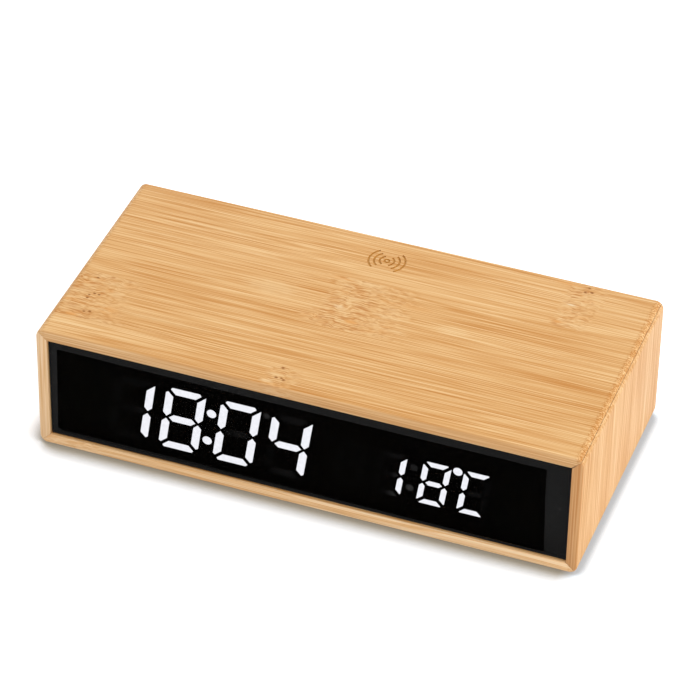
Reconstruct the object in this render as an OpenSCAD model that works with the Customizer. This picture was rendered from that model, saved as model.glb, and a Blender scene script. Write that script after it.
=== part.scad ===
// Bedside clock in a mitred bamboo case, with a charging pad under its top panel.
// Frame: origin at the centre of the footprint, on the surface under the feet.
// X is the length, the display faces -Y, Z is up. Millimetres.

/* [Case] */
// Length of the case
case_w = 200; // [196:1:260]
// Depth of the case, front edge to rear edge
case_d = 95; // [92:1:130]
// Height of the case without its feet
case_h = 50; // [48:1:80]
// Thickness of the bamboo panels
wall_t = 4; // [3.4:0.1:6]
// Radius of the four long corners of the case
corner_r = 3; // [1.5:0.1:3.2]
// Radius that breaks the front and rear edges
edge_r = 0.6; // [0.3:0.1:1.2]
// Gap between the panels and what slides in between them
fit_gap = 0.3; // [0.2:0.05:0.5]

/* [Feet] */
// Diameter of a rubber foot
foot_d = 10; // [8:0.5:14]
// Full thickness of a foot
foot_t = 2; // [1.6:0.1:3]
// How far a foot stands out of the bottom panel
foot_drop = 0.8; // [0.5:0.1:1.2]
// Distance of a foot's centre from the panel's edges
foot_inset = 13; // [10:0.5:20]

/* [Display window] */
// How far the lens sits behind the front edge
lens_recess = 1; // [0.5:0.1:2]
// Thickness of the smoked lens
lens_t = 1.3; // [1:0.1:2.4]
// Thickness of the printed border film
film_t = 0.2; // [0.1:0.05:0.4]
// Width of the printed border at the left
border_left = 3; // [2:0.1:6]
// Width of the printed border at the right
border_right = 9; // [5:0.1:12]
// Width of the printed border at the top
border_top = 5; // [3:0.1:6]
// Width of the printed border at the bottom
border_bottom = 0.9; // [0.8:0.1:3]
// Diameter of the clear spot in front of the light sensor
sensor_spot_d = 1; // [0.6:0.1:2]

/* [Digits] */
// Lean of all digits to the right, in degrees
digit_lean = 8; // [0:0.1:12]
// Distance of the time from the left end of the window
time_inset = 19.95; // [16:0.05:22]
// Distance of the temperature from the right end of the window
temp_inset = 20.25; // [16:0.05:22]
// Distance between the time and the temperature
display_split = 10.45; // [8:0.05:14]
// Share of the room for digits that the time takes
time_share = 0.5701; // [0.5:0.0001:0.62]
// Height of a time digit
time_h = 27.2; // [24:0.1:29]
// Width of a segment of a time digit
time_stroke = 2.9; // [2.4:0.1:3.4]
// Gap between two time digits
time_digit_gap = 4.2; // [3.6:0.1:5]
// Extra distance between the hours and the minutes
time_split = 1.4; // [1:0.05:2]
// Diameter of a colon dot of the time
time_dot_d = 3.5; // [3:0.1:3.8]
// Height of a temperature digit
temp_h = 18.95; // [17:0.05:21]
// Width of a segment of a temperature digit
temp_stroke = 2.05; // [1.8:0.05:2.5]
// Gap between two temperature digits
temp_digit_gap = 4.55; // [4:0.05:5]
// Extra distance between the second and third temperature digit
temp_split = 1.3; // [1:0.05:2]
// How much lower the temperature digits stand than the time
temp_drop = 0.95; // [0:0.05:1.5]
// Diameter of a dot of the temperature display
temp_dot_d = 3; // [2.4:0.1:3.2]
// Gap between neighbouring segments
segment_gap = 1; // [0.6:0.05:1.3]

/* [Light box] */
// Depth of the light box
box_depth = 8; // [6:0.5:12]
// Thickness of the clear fillings of its wells
filling_t = 2; // [1:0.1:3]
// Thickness of the display board
display_board_t = 1.6; // [1.2:0.1:2]

/* [Charging mark] */
// Distance of the mark's centre from the rear edge
mark_from_rear = 13; // [10:0.5:40]
// Distance of the mark's centre to the right of the middle
mark_x = 0.6; // [-20:0.1:20]
// Radius of the small ring
mark_ring_r = 0.85; // [0.8:0.05:1.2]
// Step from each pair of arcs to the next one out
mark_step = 2; // [1.4:0.1:3]
// Width of the cut lines
mark_line = 0.75; // [0.4:0.05:0.9]
// Depth of the cut lines
mark_cut = 0.3; // [0.2:0.05:0.6]

/* [Charging coil] */
// Outer diameter of the coil
coil_d = 43; // [38:1:46]
// Inner diameter of the coil
coil_bore = 20.5; // [16:0.5:24]
// Thickness of the coil
coil_t = 1.2; // [0.8:0.1:2]
// Diameter of the ferrite disc
ferrite_d = 50; // [47:1:51]
// Thickness of the ferrite disc
ferrite_t = 1; // [0.6:0.1:1.5]
// Gap between the coil carrier and the rear cover
carrier_gap = 2.2; // [1.5:0.1:4]
// Diameter of a coil lead
lead_d = 1; // [0.8:0.1:1.1]

/* [Chassis] */
// Thickness of the chassis floor and walls
chassis_t = 2; // [1.6:0.1:2.6]
// Height of the chassis side walls
side_wall_h = 12; // [8:1:20]
// Width of a rear pillar
pillar_w = 10; // [8:0.5:12]
// Depth of a rear pillar
pillar_d = 12; // [10:0.5:16]
// Length of the main board
board_w = 90; // [86:1:92]
// Room for the display ribbon in front of the main board
board_front_gap = 8.9; // [7.5:0.1:10]
// Thickness of the circuit boards
board_t = 1.6; // [1.2:0.1:2]
// Height of the posts under the main board
board_post_h = 4; // [3:0.5:6]

/* [Rear cover] */
// How far the cover sits inside the rear edge
cover_recess = 1.5; // [1.2:0.1:3]
// Thickness of the cover
cover_t = 2; // [1.6:0.1:2.6]
// Number of vent slots
vent_count = 6; // [4:1:7]
// Width of a vent slot
vent_w = 1.6; // [1.2:0.1:2]
// Length of a vent slot
vent_h = 14; // [10:1:18]

/* [Buttons] */
// Diameter of a button cap
button_d = 7; // [6:0.1:8]
// Distance between two buttons
button_pitch = 14; // [13.5:0.5:16]
// How far a cap stands out of the cover
button_proud = 1; // [0.8:0.1:1.1]
// How far a button can be pressed
button_travel = 0.5; // [0.3:0.05:0.6]
// Height of the button row above the middle of the case
button_rise = 3; // [0:0.5:6]

/* [Power socket] */
// Width of the socket shell
socket_w = 8.94; // [8.9:0.02:9]
// Height of the socket shell
socket_h = 3.26; // [3.2:0.02:3.3]
// Length of the socket shell
socket_len = 7.3; // [6.5:0.1:8]
// Distance of the socket from the middle of the case
socket_x = 32; // [30:0.5:33]

/* [Clock battery] */
// Diameter of the coin cell
cell_d = 20; // [16:0.1:20.5]
// Thickness of the coin cell
cell_t = 3.2; // [2.5:0.1:3.4]
// Gap between the cell cup and the pillar beside it
cup_margin = 1.75; // [1:0.05:2.5]
// Turn that unlocks the battery door, in degrees
door_turn = 60; // [45:1:75]

/* [Fasteners] */
// Shank diameter of the small screws
screw_d = 2; // [1.8:0.1:2.4]
// Head diameter of the small screws
screw_head_d = 4; // [3.6:0.1:4.4]
// Head height of the small screws
screw_head_h = 1.3; // [1:0.1:1.6]

/* [Hidden] */
$fn = 48;
over = 0.5;                  // overrun of every cut
slip = 0.05;                 // radial clearance of a screw in its hole
base_z = foot_drop;
mid_z = base_z + case_h/2;
top_z = base_z + case_h;
front_y = -case_d/2;
rear_y = case_d/2;
inner_w = case_w - 2*wall_t;
inner_z = base_z + wall_t;
inner_top_z = top_z - wall_t;
insert_w = inner_w - 2*fit_gap;            // what slides into the case
insert_h = inner_top_z - inner_z - 2*fit_gap;

// Display stack, front to back
lens_y = front_y + lens_recess;
film_y = lens_y + lens_t;
box_y = film_y + film_t;
display_board_y = box_y + box_depth;
chassis_y = display_board_y + display_board_t;
window_x0 = -insert_w/2 + border_left;
window_x1 = insert_w/2 - border_right;
window_z0 = mid_z - insert_h/2 + border_bottom;
window_z1 = mid_z + insert_h/2 - border_top;
digit_z = (window_z0 + window_z1)/2;
sensor_share = 0.4;          // place of the light sensor in the right border, of its width
sensor_x = insert_w/2 - border_right*sensor_share;
sensor_w = 2.4;
sensor_t = 1;

// Segments a to g go round a digit from its top, and g is in the middle
segment_names = "abcdefg";
all_segments = [for (i = [0:len(segment_names) - 1]) i];
digit_count = 4;
time_lit = ["bc", "abcdefg", "abcdef", "bcfg"];
temp_lit = ["", "bc", "abcdefg", "adef"];
time_tip_share = 0.28;       // how far the outer corner of a segment is cut, of its stroke
temp_tip_share = 0.14;
shoulder_share = 0.55;       // length of a pointed end, of its stroke
digits_w = window_x1 - window_x0 - time_inset - temp_inset - display_split;
time_w = (digits_w*time_share - time_split)/digit_count - time_digit_gap*(digit_count - 1)/digit_count;
temp_w = (digits_w*(1 - time_share) - temp_split)/digit_count - temp_digit_gap*(digit_count - 1)/digit_count;
time_dot_rise_share = 0.228; // height of a colon dot above the middle, of a digit's height
temp_dot_rise_share = 0.247;
degree_rise_share = 0.435;   // the same of the degree dot
time_degree_rise_share = 0.412;
sign_rise_share = 0.45;
temp_colon_drop = temp_drop*0.3;
time_degree_d = time_dot_d*0.75;
sign_dot_d = temp_dot_d*0.7;
degree_dot_d = temp_dot_d*1.12;

// LED chips
led_w = 1.6;
led_h = 0.8;
led_t = 0.7;

// Rear assembly
cover_out_y = rear_y - cover_recess;
cover_in_y = cover_out_y - cover_t;
pillar_x = insert_w/2 - pillar_w/2;
cover_screw_z = [inner_z + pillar_w/2, inner_z + insert_h - pillar_w/2];
cover_screw_len = 8;
cover_head_d = 5;
cover_head_h = 1.4;
cover_head_gap = 0.1;        // the countersink is this much wider than the head
floor_top_z = inner_z + chassis_t;
vent_pitch = vent_w*2;
vent_x = insert_w/2 - pillar_w - vent_pitch*2 - vent_count*vent_pitch/2;
vent_z = mid_z - cover_t*2;

// Buttons
button_count = 4;
button_mid_x = -button_pitch*0.36;
button_z = mid_z + button_rise;
function button_x(i) = button_mid_x + (i - (button_count - 1)/2)*button_pitch;
button_gap = 0.3;
flange_w = 1;                // how far a cap's flange reaches past the cap
flange_t = 1;
plunger_d = 3.4;
plunger_len = 2.2;
plunger_gap = 0.05;
switch_w = 6;
switch_t = 3.5;
switch_leg = 0.7;
switch_y = cover_in_y - flange_t - plunger_len + plunger_d*0.2 - switch_t;
plunger_hole = plunger_d*0.2 + button_travel + switch_leg*0.3;
button_board_t = 1.2;
button_board_h = 12;
button_boss_d = 5;
button_board_y = switch_y - button_board_t;
button_boss_x = (button_count/2)*button_pitch;
button_board_w = 2*button_boss_x + button_boss_d + fit_gap*4;

// Power socket
socket_wall = 0.3;
socket_gap = 0.2;
tongue_w = 6.7;
tongue_t = 0.7;
tongue_recess = 0.8;

// Main board
board_z = floor_top_z + board_post_h;
board_top_z = board_z + board_t;
board_y0 = chassis_y + chassis_t + board_front_gap;
board_y1 = cover_in_y - chassis_t;
board_d = board_y1 - board_y0;
post_d = 5;
post_inset = 4;
board_screw_len = 4.4;
coil_z = inner_top_z - coil_t;
ferrite_z = coil_z - ferrite_t;
carrier_t = 1.6;
carrier_z = ferrite_z - carrier_t;
carrier_post_d = 6;
carrier_post_x = board_w/2 + carrier_post_d/2 + chassis_t;
carrier_post_y = ferrite_d*0.36;
carrier_w = 2*carrier_post_x + carrier_post_d + chassis_t*2;
carrier_d = ferrite_d + carrier_t;
coil_y = cover_in_y - carrier_gap - carrier_d/2;

// Cables
ribbon_w = 14;
ribbon_t = 0.3;
ribbon_bend = 3;
plug_h = 3;
plug_margin = 1;
plug_w = ribbon_w + 2*plug_margin;
plug_d = 4;
ribbon_top_z = mid_z + plug_h*2;
ribbon_low_z = board_top_z + plug_h/2;
button_ribbon_w = 6;
button_ribbon_t = 0.8;

// Clock battery
door_z = mid_z;
cell_gap = 0.3;
door_gap = 0.25;
door_r = cell_d/2 + cell_gap + cover_t*0.75;
lug_t = 1;
lug_out = 1.4;
lug_angle = 30;
lug_clear = 6;
lug_play = 0.1;
groove_r = door_r + lug_out + door_gap;
cup_r = groove_r + cover_t*0.75;
lug_y = cover_in_y - lug_play - lug_t;
groove_y = lug_y - lug_play;
door_x = insert_w/2 - pillar_w - cup_r - cup_margin;
cell_y = cover_in_y - socket_wall - cell_t;
spring_t = 0.3;
cup_floor_t = 1.2;
cup_y = cell_y - spring_t - cup_floor_t;
coin_slot_w = 1.6;
coin_slot_len = door_r*1.2;
coin_slot_cut = 0.8;

// Coil leads, side by side in front of the coil
lead_gap = 0.5;
lead_bend = 2;
lead_z = coil_z + coil_t/2;
lead_drop_y = coil_y - coil_d/2;
lead_pitch = lead_d*3;
lead_first_x = plug_w/2 + lead_pitch;
lead_way_x = lead_first_x - lead_d/2 - lead_gap;
lead_way_w = lead_pitch + lead_d + 2*lead_gap;

chassis_screw_bite = 2.6;    // length of a chassis screw in the bottom panel
chassis_screw_len = chassis_t + chassis_screw_bite;
foot_gap = 0.15;

// Rectangle of width w and height h about the origin, with rounded corners
module rounded_rect(w, h, r) {
    square([w - 2*r, h], center = true);
    square([w, h - 2*r], center = true);
    for (sx = [-1, 1], sy = [-1, 1])
        translate([sx*(w/2 - r), sy*(h/2 - r)]) circle(r = r);
}

// Box from one low corner, of a given size
module box_at(p, s) {
    translate(p) cube(s);
}

// Extrudes a shape drawn in X and Z backwards from y, over the length len
module from_front(y, len) {
    translate([0, y + len, 0]) rotate([90, 0, 0]) linear_extrude(len) children();
}

// Rod along +Y from the point (x, y, z)
module rod_y(x, y, z, d, len) {
    translate([x, y, z]) rotate([-90, 0, 0]) cylinder(d = d, h = len);
}

// Outside of the case: straight runs both ways and four round corners
module case_block() {
    translate([0, 0, mid_z]) {
        rotate([90, 0, 90])
            linear_extrude(case_w - 2*corner_r, center = true) rounded_rect(case_d, case_h, edge_r);
        linear_extrude(case_h - 2*corner_r, center = true) rounded_rect(case_w, case_d, edge_r);
        for (sx = [-1, 1], sz = [-1, 1])
            translate([sx*(case_w/2 - corner_r), 0, sz*(case_h/2 - corner_r)]) rotate([90, 0, 0])
                rotate_extrude() intersection() {
                    rounded_rect(2*corner_r, case_d, edge_r);
                    translate([0, -case_d/2]) square([corner_r, case_d]);
                }
    }
}

// Board of the case between two mitres; half is half its length across the mitres
module mitred(half, reach) {
    translate([0, rear_y + over, 0]) rotate([90, 0, 0]) linear_extrude(case_d + 2*over)
        polygon([[-half, reach], [half, reach], [half - wall_t, reach - wall_t],
                 [wall_t - half, reach - wall_t]]);
}

// Pair of arcs of the charging mark; half_angle is measured from the X axis
module mark_arc(r, half_angle) {
    for (side = [0, 180])
        rotate([0, 0, side - half_angle]) rotate_extrude(angle = 2*half_angle)
            translate([r - mark_line/2, -mark_cut]) square([mark_line, mark_cut + over]);
}

mark_half_angles = [62, 54, 51];
first_arc_share = 0.895;     // step from the ring to the first pair of arcs, of the mark's step

module charging_mark() {
    translate([mark_x, rear_y - mark_from_rear, top_z]) {
        rotate_extrude() translate([mark_ring_r - mark_line/2, -mark_cut])
            square([mark_line, mark_cut + over]);
        for (i = [0:len(mark_half_angles) - 1])
            mark_arc(mark_ring_r + (i + first_arc_share)*mark_step, mark_half_angles[i]);
    }
}

module top_panel() color("#e9bb80") difference() {
    intersection() {
        case_block();
        translate([0, 0, mid_z]) mitred(case_w/2, case_h/2);
    }
    charging_mark();
}

module bottom_panel() color("#e0b179") difference() {
    intersection() {
        case_block();
        translate([0, 0, mid_z]) mirror([0, 0, 1]) mitred(case_w/2, case_h/2);
    }
    foot_places() translate([0, 0, base_z - over])
        cylinder(d = foot_d + 2*foot_gap, h = foot_t - foot_drop + over);
    chassis_screw_places() translate([0, 0, inner_z + chassis_t - chassis_screw_len - slip])
        cylinder(d = screw_d + 2*slip, h = chassis_screw_len);
}

module side_panel(side) intersection() {
    case_block();
    translate([0, 0, mid_z]) rotate([0, side*90, 0]) mitred(case_h/2, case_w/2);
}

module left_panel() color("#eebf88") side_panel(-1);
module right_panel() color("#f5c692") side_panel(1);

module foot_places() {
    for (sx = [-1, 1], sy = [-1, 1])
        translate([sx*(case_w/2 - foot_inset), sy*(case_d/2 - foot_inset), 0]) children();
}

// Feet with a broken lower edge
module rubber_feet() color("#2a2a2a") foot_places() rotate_extrude()
    polygon([[0, 0], [foot_d/2 - foot_drop/2, 0], [foot_d/2, foot_drop/2],
             [foot_d/2, foot_t], [0, foot_t]]);

// Rectangle in X and Z that fits between the panels
module insert_outline() {
    translate([0, mid_z]) square([insert_w, insert_h], center = true);
}

module display_lens() color("#141416", 0.5) from_front(lens_y, lens_t) insert_outline();

module border_film() color("#1c1d1f") from_front(film_y, film_t) difference() {
    insert_outline();
    translate([window_x0, window_z0]) square([window_x1 - window_x0, window_z1 - window_z0]);
    translate([sensor_x, mid_z]) circle(d = sensor_spot_d);
}

// Outline of one segment of a digit of width w, height h and stroke s, about its middle. Outer corners are
// cut by t, more at the right end of a and not at all at the top of b.
function segment_points(k, w, h, s, t) =
    k == 6 ? let(x = w/2 - s/2 - segment_gap, r = shoulder_share*s)
             [[-x, 0], [r - x, s/2], [x - r, s/2], [x, 0], [x - r, -s/2], [r - x, -s/2]]
    : k == 0 || k == 3 ? let(x = w/2 - segment_gap*0.8, f = k == 0 ? 1 : -1, n = k == 0 ? t*1.2 : t)
             [[t - x, f*(h/2 - t)], [t*1.7 - x, f*h/2], [x - n*1.7, f*h/2], [x - n, f*(h/2 - n)],
              [x - s, f*(h/2 - s)], [s - x, f*(h/2 - s)]]
    : let(z = h/2 - segment_gap*1.15, e = segment_gap/2, r = shoulder_share*s, x = w/2,
          sx = k < 3 ? 1 : -1, f = k == 1 || k == 5 ? 1 : -1)
      concat(k == 1 ? [[x, z]] : [[sx*x, f*(z - t*1.7)], [sx*(x - t), f*(z - t)]],
             [[sx*(x - s), f*(z - s)], [sx*(x - s), f*(e + r)], [sx*(x - s/2), f*e], [sx*x, f*(e + r)]]);

// Middle of a segment
function segment_middle(k, w, h, s) =
    k == 6 ? [0, 0]
    : k == 0 || k == 3 ? [0, (k == 0 ? 1 : -1)*(h/2 - s/2)]
    : [(k < 3 ? 1 : -1)*(w/2 - s/2), (k == 1 || k == 5 ? 1 : -1)*(h/4)];

// Place in the display of a point of a digit whose middle is at x, lowered by drop
function lean(x, p, drop = 0) = [x + p[0] + p[1]*tan(digit_lean), digit_z - drop + p[1]];

time_first_x = window_x0 + time_inset + time_w/2;
temp_last_x = window_x1 - temp_inset - temp_w/2;
function time_x(i) = time_first_x + i*(time_w + time_digit_gap) + (i > 1 ? time_split : 0);
function temp_x(i) = temp_last_x - (3 - i)*(temp_w + temp_digit_gap) - (i < 2 ? temp_split : 0);
time_mid_x = (time_x(1) + time_x(2))/2;
temp_mid_x = (temp_x(1) + temp_x(2))/2;

module segment(x, k, w, h, s, t, drop) {
    polygon([for (p = segment_points(k, w, h, s, t)) lean(x, p, drop)]);
}

module dot(x, rise, d, drop = 0) {
    translate(lean(x, [0, rise], drop)) circle(d = d);
}

// Segments of both displays that are lit, or those that aren't
module time_segments(lit) {
    for (i = [0:digit_count - 1], k = all_segments)
        if ((len(search(segment_names[k], time_lit[i])) > 0) == lit)
            segment(time_x(i), k, time_w, time_h, time_stroke, time_tip_share*time_stroke, 0);
}

module temp_segments(lit) {
    for (i = [0:digit_count - 1], k = all_segments)
        if ((len(search(segment_names[k], temp_lit[i])) > 0) == lit)
            segment(temp_x(i), k, temp_w, temp_h, temp_stroke, temp_tip_share*temp_stroke, temp_drop);
}

module colon_dots() {
    for (side = [-1, 1]) dot(time_mid_x, side*time_dot_rise_share*time_h, time_dot_d);
}

module degree_outline() {
    dot((temp_x(2) + temp_x(3))/2, degree_rise_share*temp_h, degree_dot_d, temp_drop);
}

module unlit_dots() {
    for (side = [-1, 1]) dot(temp_mid_x, side*temp_dot_rise_share*temp_h, temp_dot_d, temp_colon_drop);
    dot((time_x(2) + time_x(3))/2, time_degree_rise_share*time_h, time_degree_d);
    dot(temp_x(0) - temp_w/2 - temp_dot_d, sign_rise_share*temp_h, sign_dot_d, temp_colon_drop);
}

// Places of all LED chips, in X and Z
time_led_points = [for (i = [0:digit_count - 1], k = all_segments)
    lean(time_x(i), segment_middle(k, time_w, time_h, time_stroke))];
temp_led_points = [for (i = [0:digit_count - 1], k = all_segments)
    lean(temp_x(i), segment_middle(k, temp_w, temp_h, temp_stroke), temp_drop)];
dot_led_points = concat(
    [for (side = [-1, 1]) lean(time_mid_x, [0, side*time_dot_rise_share*time_h])],
    [for (side = [-1, 1]) lean(temp_mid_x, [0, side*temp_dot_rise_share*temp_h], temp_colon_drop)],
    [lean((temp_x(2) + temp_x(3))/2, [0, degree_rise_share*temp_h], temp_drop),
     lean((time_x(2) + time_x(3))/2, [0, time_degree_rise_share*time_h]),
     lean(temp_x(0) - temp_w/2 - temp_dot_d, [0, sign_rise_share*temp_h], temp_colon_drop)]);

module light_box() color("#0b0b0c") difference() {
    from_front(box_y, box_depth) difference() {
        insert_outline();
        time_segments(true);
        time_segments(false);
        temp_segments(true);
        temp_segments(false);
        colon_dots();
        degree_outline();
        unlit_dots();
        translate([sensor_x, mid_z]) circle(d = sensor_w*sqrt(2));
    }
    display_screw_places() rod_y(0, display_board_y - box_depth*0.7, 0, screw_d + 2*slip, box_depth);
}

module time_digits() color("#f4f6ff") from_front(box_y, filling_t) time_segments(true);
module time_colon() color("#f4f6ff") from_front(box_y, filling_t) colon_dots();
module temperature_digits() color("#f4f6ff") from_front(box_y, filling_t) temp_segments(true);
module degree_dot() color("#f4f6ff") from_front(box_y, filling_t) degree_outline();
module unlit_segments() color("#3a3a3c") from_front(box_y, filling_t) {
    time_segments(false);
    temp_segments(false);
    unlit_dots();
}

module display_screw_places() {
    for (sx = [-1, 1], sz = [-1, 1])
        translate([sx*pillar_x, 0, mid_z + sz*(insert_h/2 - pillar_w*0.6)]) children();
}

module display_board() color("#1f4d33") difference() {
    from_front(display_board_y, display_board_t) insert_outline();
    display_screw_places() rod_y(0, display_board_y - over, 0, screw_d + 2*slip, display_board_t + 2*over);
}

module segment_leds() color("#f0e6b0")
    for (p = concat(time_led_points, temp_led_points, dot_led_points))
        box_at([p[0] - led_w/2, display_board_y - led_t, p[1] - led_h/2], [led_w, led_t, led_h]);

module light_sensor() color("#25262a")
    box_at([sensor_x - sensor_w/2, display_board_y - sensor_t, mid_z - sensor_w/2],
           [sensor_w, sensor_t, sensor_w]);

// Chip of length l (X), width w (Y) and height t, with legs on its long sides, standing on z = 0
module leaded_chip(l, w, t, legs) {
    leg_w = l/(2*legs);
    box_at([-l/2, -w/2, t*0.08], [l, w, t*0.92]);
    for (i = [0:legs - 1])
        box_at([-l/2 + (i + 0.25)*2*leg_w, -w*0.75, 0], [leg_w, w*1.5, t*0.3]);
}

driver_l = 18;
driver_w = 7.5;
driver_t = 2;
driver_legs = 12;
driver_gap = 0.6;            // between the driver chip and the edge of its cut-out

// The driver stands on the back of the display board, inside a cut-out of the chassis wall
module driver_chip() color("#17181a")
    translate([time_mid_x, chassis_y, mid_z]) rotate([-90, 0, 0])
        leaded_chip(driver_l, driver_w, driver_t, driver_legs);

// Pan head screw along -Z: underside of the head at z = 0, with a cross recess
module pan_screw(len) {
    slot_w = screw_head_d*0.14;
    slot_l = screw_head_d*0.55;
    difference() {
        union() {
            translate([0, 0, -len]) cylinder(d = screw_d, h = len + screw_head_h/2);
            rotate_extrude() intersection() {
                translate([0, -screw_head_h]) rounded_rect(screw_head_d, 4*screw_head_h, screw_head_h*0.6);
                square([screw_head_d/2, screw_head_h]);
            }
        }
        for (a = [0, 90])
            rotate([0, 0, a]) translate([-slot_l/2, -slot_w/2, screw_head_h*0.45])
                cube([slot_l, slot_w, screw_head_h]);
    }
}

module display_screws() color("#9a9da2") display_screw_places()
    translate([0, chassis_y + chassis_t, 0]) rotate([-90, 0, 0])
        pan_screw(chassis_t + display_board_t + box_depth*0.6);

module chassis_screw_places() {
    for (sx = [-1, 1], y = [chassis_y + pillar_d, cover_in_y - pillar_d*2])
        translate([sx*(insert_w/2 - pillar_w), y, 0]) children();
}

module board_post_places() {
    for (sx = [-1, 1], y = [board_y0 + post_inset, board_y1 - post_inset])
        translate([sx*(board_w/2 - post_inset), y, 0]) children();
}

module carrier_post_places() {
    for (sx = [-1, 1], sy = [-1, 1])
        translate([sx*carrier_post_x, coil_y + sy*carrier_post_y, 0]) children();
}

module cover_screw_places() {
    for (sx = [-1, 1], z = cover_screw_z) translate([sx*pillar_x, 0, z]) children();
}

module chassis() color("#2b2c2e") difference() {
    union() {
        box_at([-insert_w/2, chassis_y, inner_z], [insert_w, cover_in_y - chassis_y, chassis_t]);
        box_at([-insert_w/2, chassis_y, inner_z], [insert_w, chassis_t, insert_h]);
        for (sx = [-1, 1]) {
            translate([sx*(insert_w/2 - chassis_t/2), 0, 0])
                box_at([-chassis_t/2, chassis_y, inner_z], [chassis_t, cover_in_y - chassis_y, side_wall_h]);
            translate([sx*pillar_x, 0, 0])
                box_at([-pillar_w/2, cover_in_y - pillar_d, inner_z], [pillar_w, pillar_d, insert_h]);
        }
        board_post_places() translate([0, 0, inner_z]) cylinder(d = post_d, h = board_z - inner_z);
        carrier_post_places() translate([0, 0, inner_z])
            cylinder(d = carrier_post_d, h = carrier_z - inner_z);
    }
    // Ways through the front wall for the ribbon plug and the driver chip
    box_at([-plug_w/2 - fit_gap, chassis_y - over, ribbon_top_z - plug_h/2 - fit_gap],
           [plug_w + 2*fit_gap, chassis_t + 2*over, plug_h + 2*fit_gap]);
    box_at([time_mid_x - driver_l/2 - driver_gap, chassis_y - over, mid_z - driver_w*0.75 - driver_gap],
           [driver_l + 2*driver_gap, chassis_t + 2*over, driver_w*1.5 + 2*driver_gap]);
    display_screw_places() rod_y(0, chassis_y - over, 0, screw_d + 2*slip, chassis_t + 2*over);
    chassis_screw_places() translate([0, 0, inner_z - over])
        cylinder(d = screw_d + 2*slip, h = chassis_t + 2*over);
    board_post_places() translate([0, 0, board_z - board_screw_len])
        cylinder(d = screw_d + 2*slip, h = board_screw_len + over);
    carrier_post_places() translate([0, 0, carrier_z - board_screw_len])
        cylinder(d = screw_d + 2*slip, h = board_screw_len + over);
    cover_screw_places() rod_y(0, cover_in_y - cover_screw_len, 0, screw_d + 2*slip, cover_screw_len + over);
}

module chassis_screws() color("#9a9da2") chassis_screw_places()
    translate([0, 0, floor_top_z]) pan_screw(chassis_screw_len - slip);

module main_board() color("#1f4d33") difference() {
    box_at([-board_w/2, board_y0, board_z], [board_w, board_d, board_t]);
    board_post_places() translate([0, 0, board_z - over])
        cylinder(d = screw_d + 2*slip, h = board_t + 2*over);
}

module board_screws() color("#9a9da2") board_post_places()
    translate([0, 0, board_top_z]) pan_screw(board_screw_len);

// Places on the main board, as shares of its size from its middle
clock_chip_shares = [-0.3, 0.02];
controller_shares = [0, -0.05];
inductor_shares = [0.17, 0.02];
crystal_shares = [-0.3, 0.16];
buzzer_shares = [-0.34, -0.22];
can_shares = [0.2, 0.2];
film_cap_shares = [for (i = [-1.5:1.5]) [i*0.06, -0.24]];
sensor_lead_shares = [0.47, 0.2];
function on_board(shares) = [shares[0]*board_w, (board_y0 + board_y1)/2 + shares[1]*board_d, board_top_z];

clock_chip_l = 10;
clock_chip_w = 4;
clock_chip_t = 1.6;
clock_chip_legs = 8;

module clock_chip() color("#17181a") translate(on_board(clock_chip_shares))
    leaded_chip(clock_chip_l, clock_chip_w, clock_chip_t, clock_chip_legs);

controller_w = 6;
controller_t = 0.9;

module charge_controller() color("#17181a") translate(on_board(controller_shares))
    translate([0, 0, controller_t/2]) cube([controller_w, controller_w, controller_t], center = true);

inductor_w = 7;
inductor_h = 4;

module power_inductor() color("#3c3c40") translate(on_board(inductor_shares))
    linear_extrude(inductor_h) rounded_rect(inductor_w, inductor_w, inductor_w*0.15);

// One can capacitor and a row of flat film capacitors
can_d = 6.3;
can_h = 7.7;
film_cap_w = 3.2;
film_cap_h = 2.2;

module capacitors() color("#8c8f96") {
    translate(on_board(can_shares)) cylinder(d = can_d, h = can_h);
    for (shares = film_cap_shares)
        translate(on_board(shares)) translate([-film_cap_w/2, -film_cap_w/2, 0])
            cube([film_cap_w, film_cap_w, film_cap_h]);
}

crystal_d = 2;
crystal_len = 6;

module crystal() color("#c9ccd1") translate(on_board(crystal_shares))
    translate([0, 0, crystal_d/2]) rotate([0, 90, 0]) cylinder(d = crystal_d, h = crystal_len, center = true);

buzzer_d = 12;
buzzer_h = 8.5;
buzzer_hole_d = 2;

module buzzer() color("#1b1c1e") translate(on_board(buzzer_shares)) difference() {
    cylinder(d = buzzer_d, h = buzzer_h);
    translate([0, 0, buzzer_h*0.8]) cylinder(d = buzzer_hole_d, h = buzzer_h);
}

button_ribbon_y = button_board_y - plug_d/2;

module cable_plugs() color("#e8e4d8") {
    box_at([-plug_w/2, chassis_y, ribbon_top_z - plug_h/2], [plug_w, chassis_t + fit_gap, plug_h]);
    box_at([-plug_w/2, board_y0 + plug_d/4, board_top_z], [plug_w, plug_d*0.75, plug_h]);
    box_at([button_mid_x - plug_w/4, button_board_y - plug_d*0.75, button_z - plug_h/2],
           [plug_w/2, plug_d*0.75, plug_h]);
    box_at([button_mid_x - plug_w/4, button_ribbon_y - plug_d/2, board_top_z], [plug_w/2, plug_d, plug_h]);
}

// Quarter of a flat band's bend about the origin, between the angles 0 and 90
module band_bend() {
    intersection() {
        difference() {
            circle(r = ribbon_bend + ribbon_t/2);
            circle(r = ribbon_bend - ribbon_t/2);
        }
        square(2*ribbon_bend);
    }
}

// Ribbon drawn in Y and Z: out of the display plug, down, and into the main board plug
ribbon_start_y = chassis_y + chassis_t + fit_gap;
ribbon_drop_y = (ribbon_start_y + board_y0 + plug_d/4)/2;
ribbon_plug_y = board_y0 + plug_d/4;

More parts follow.
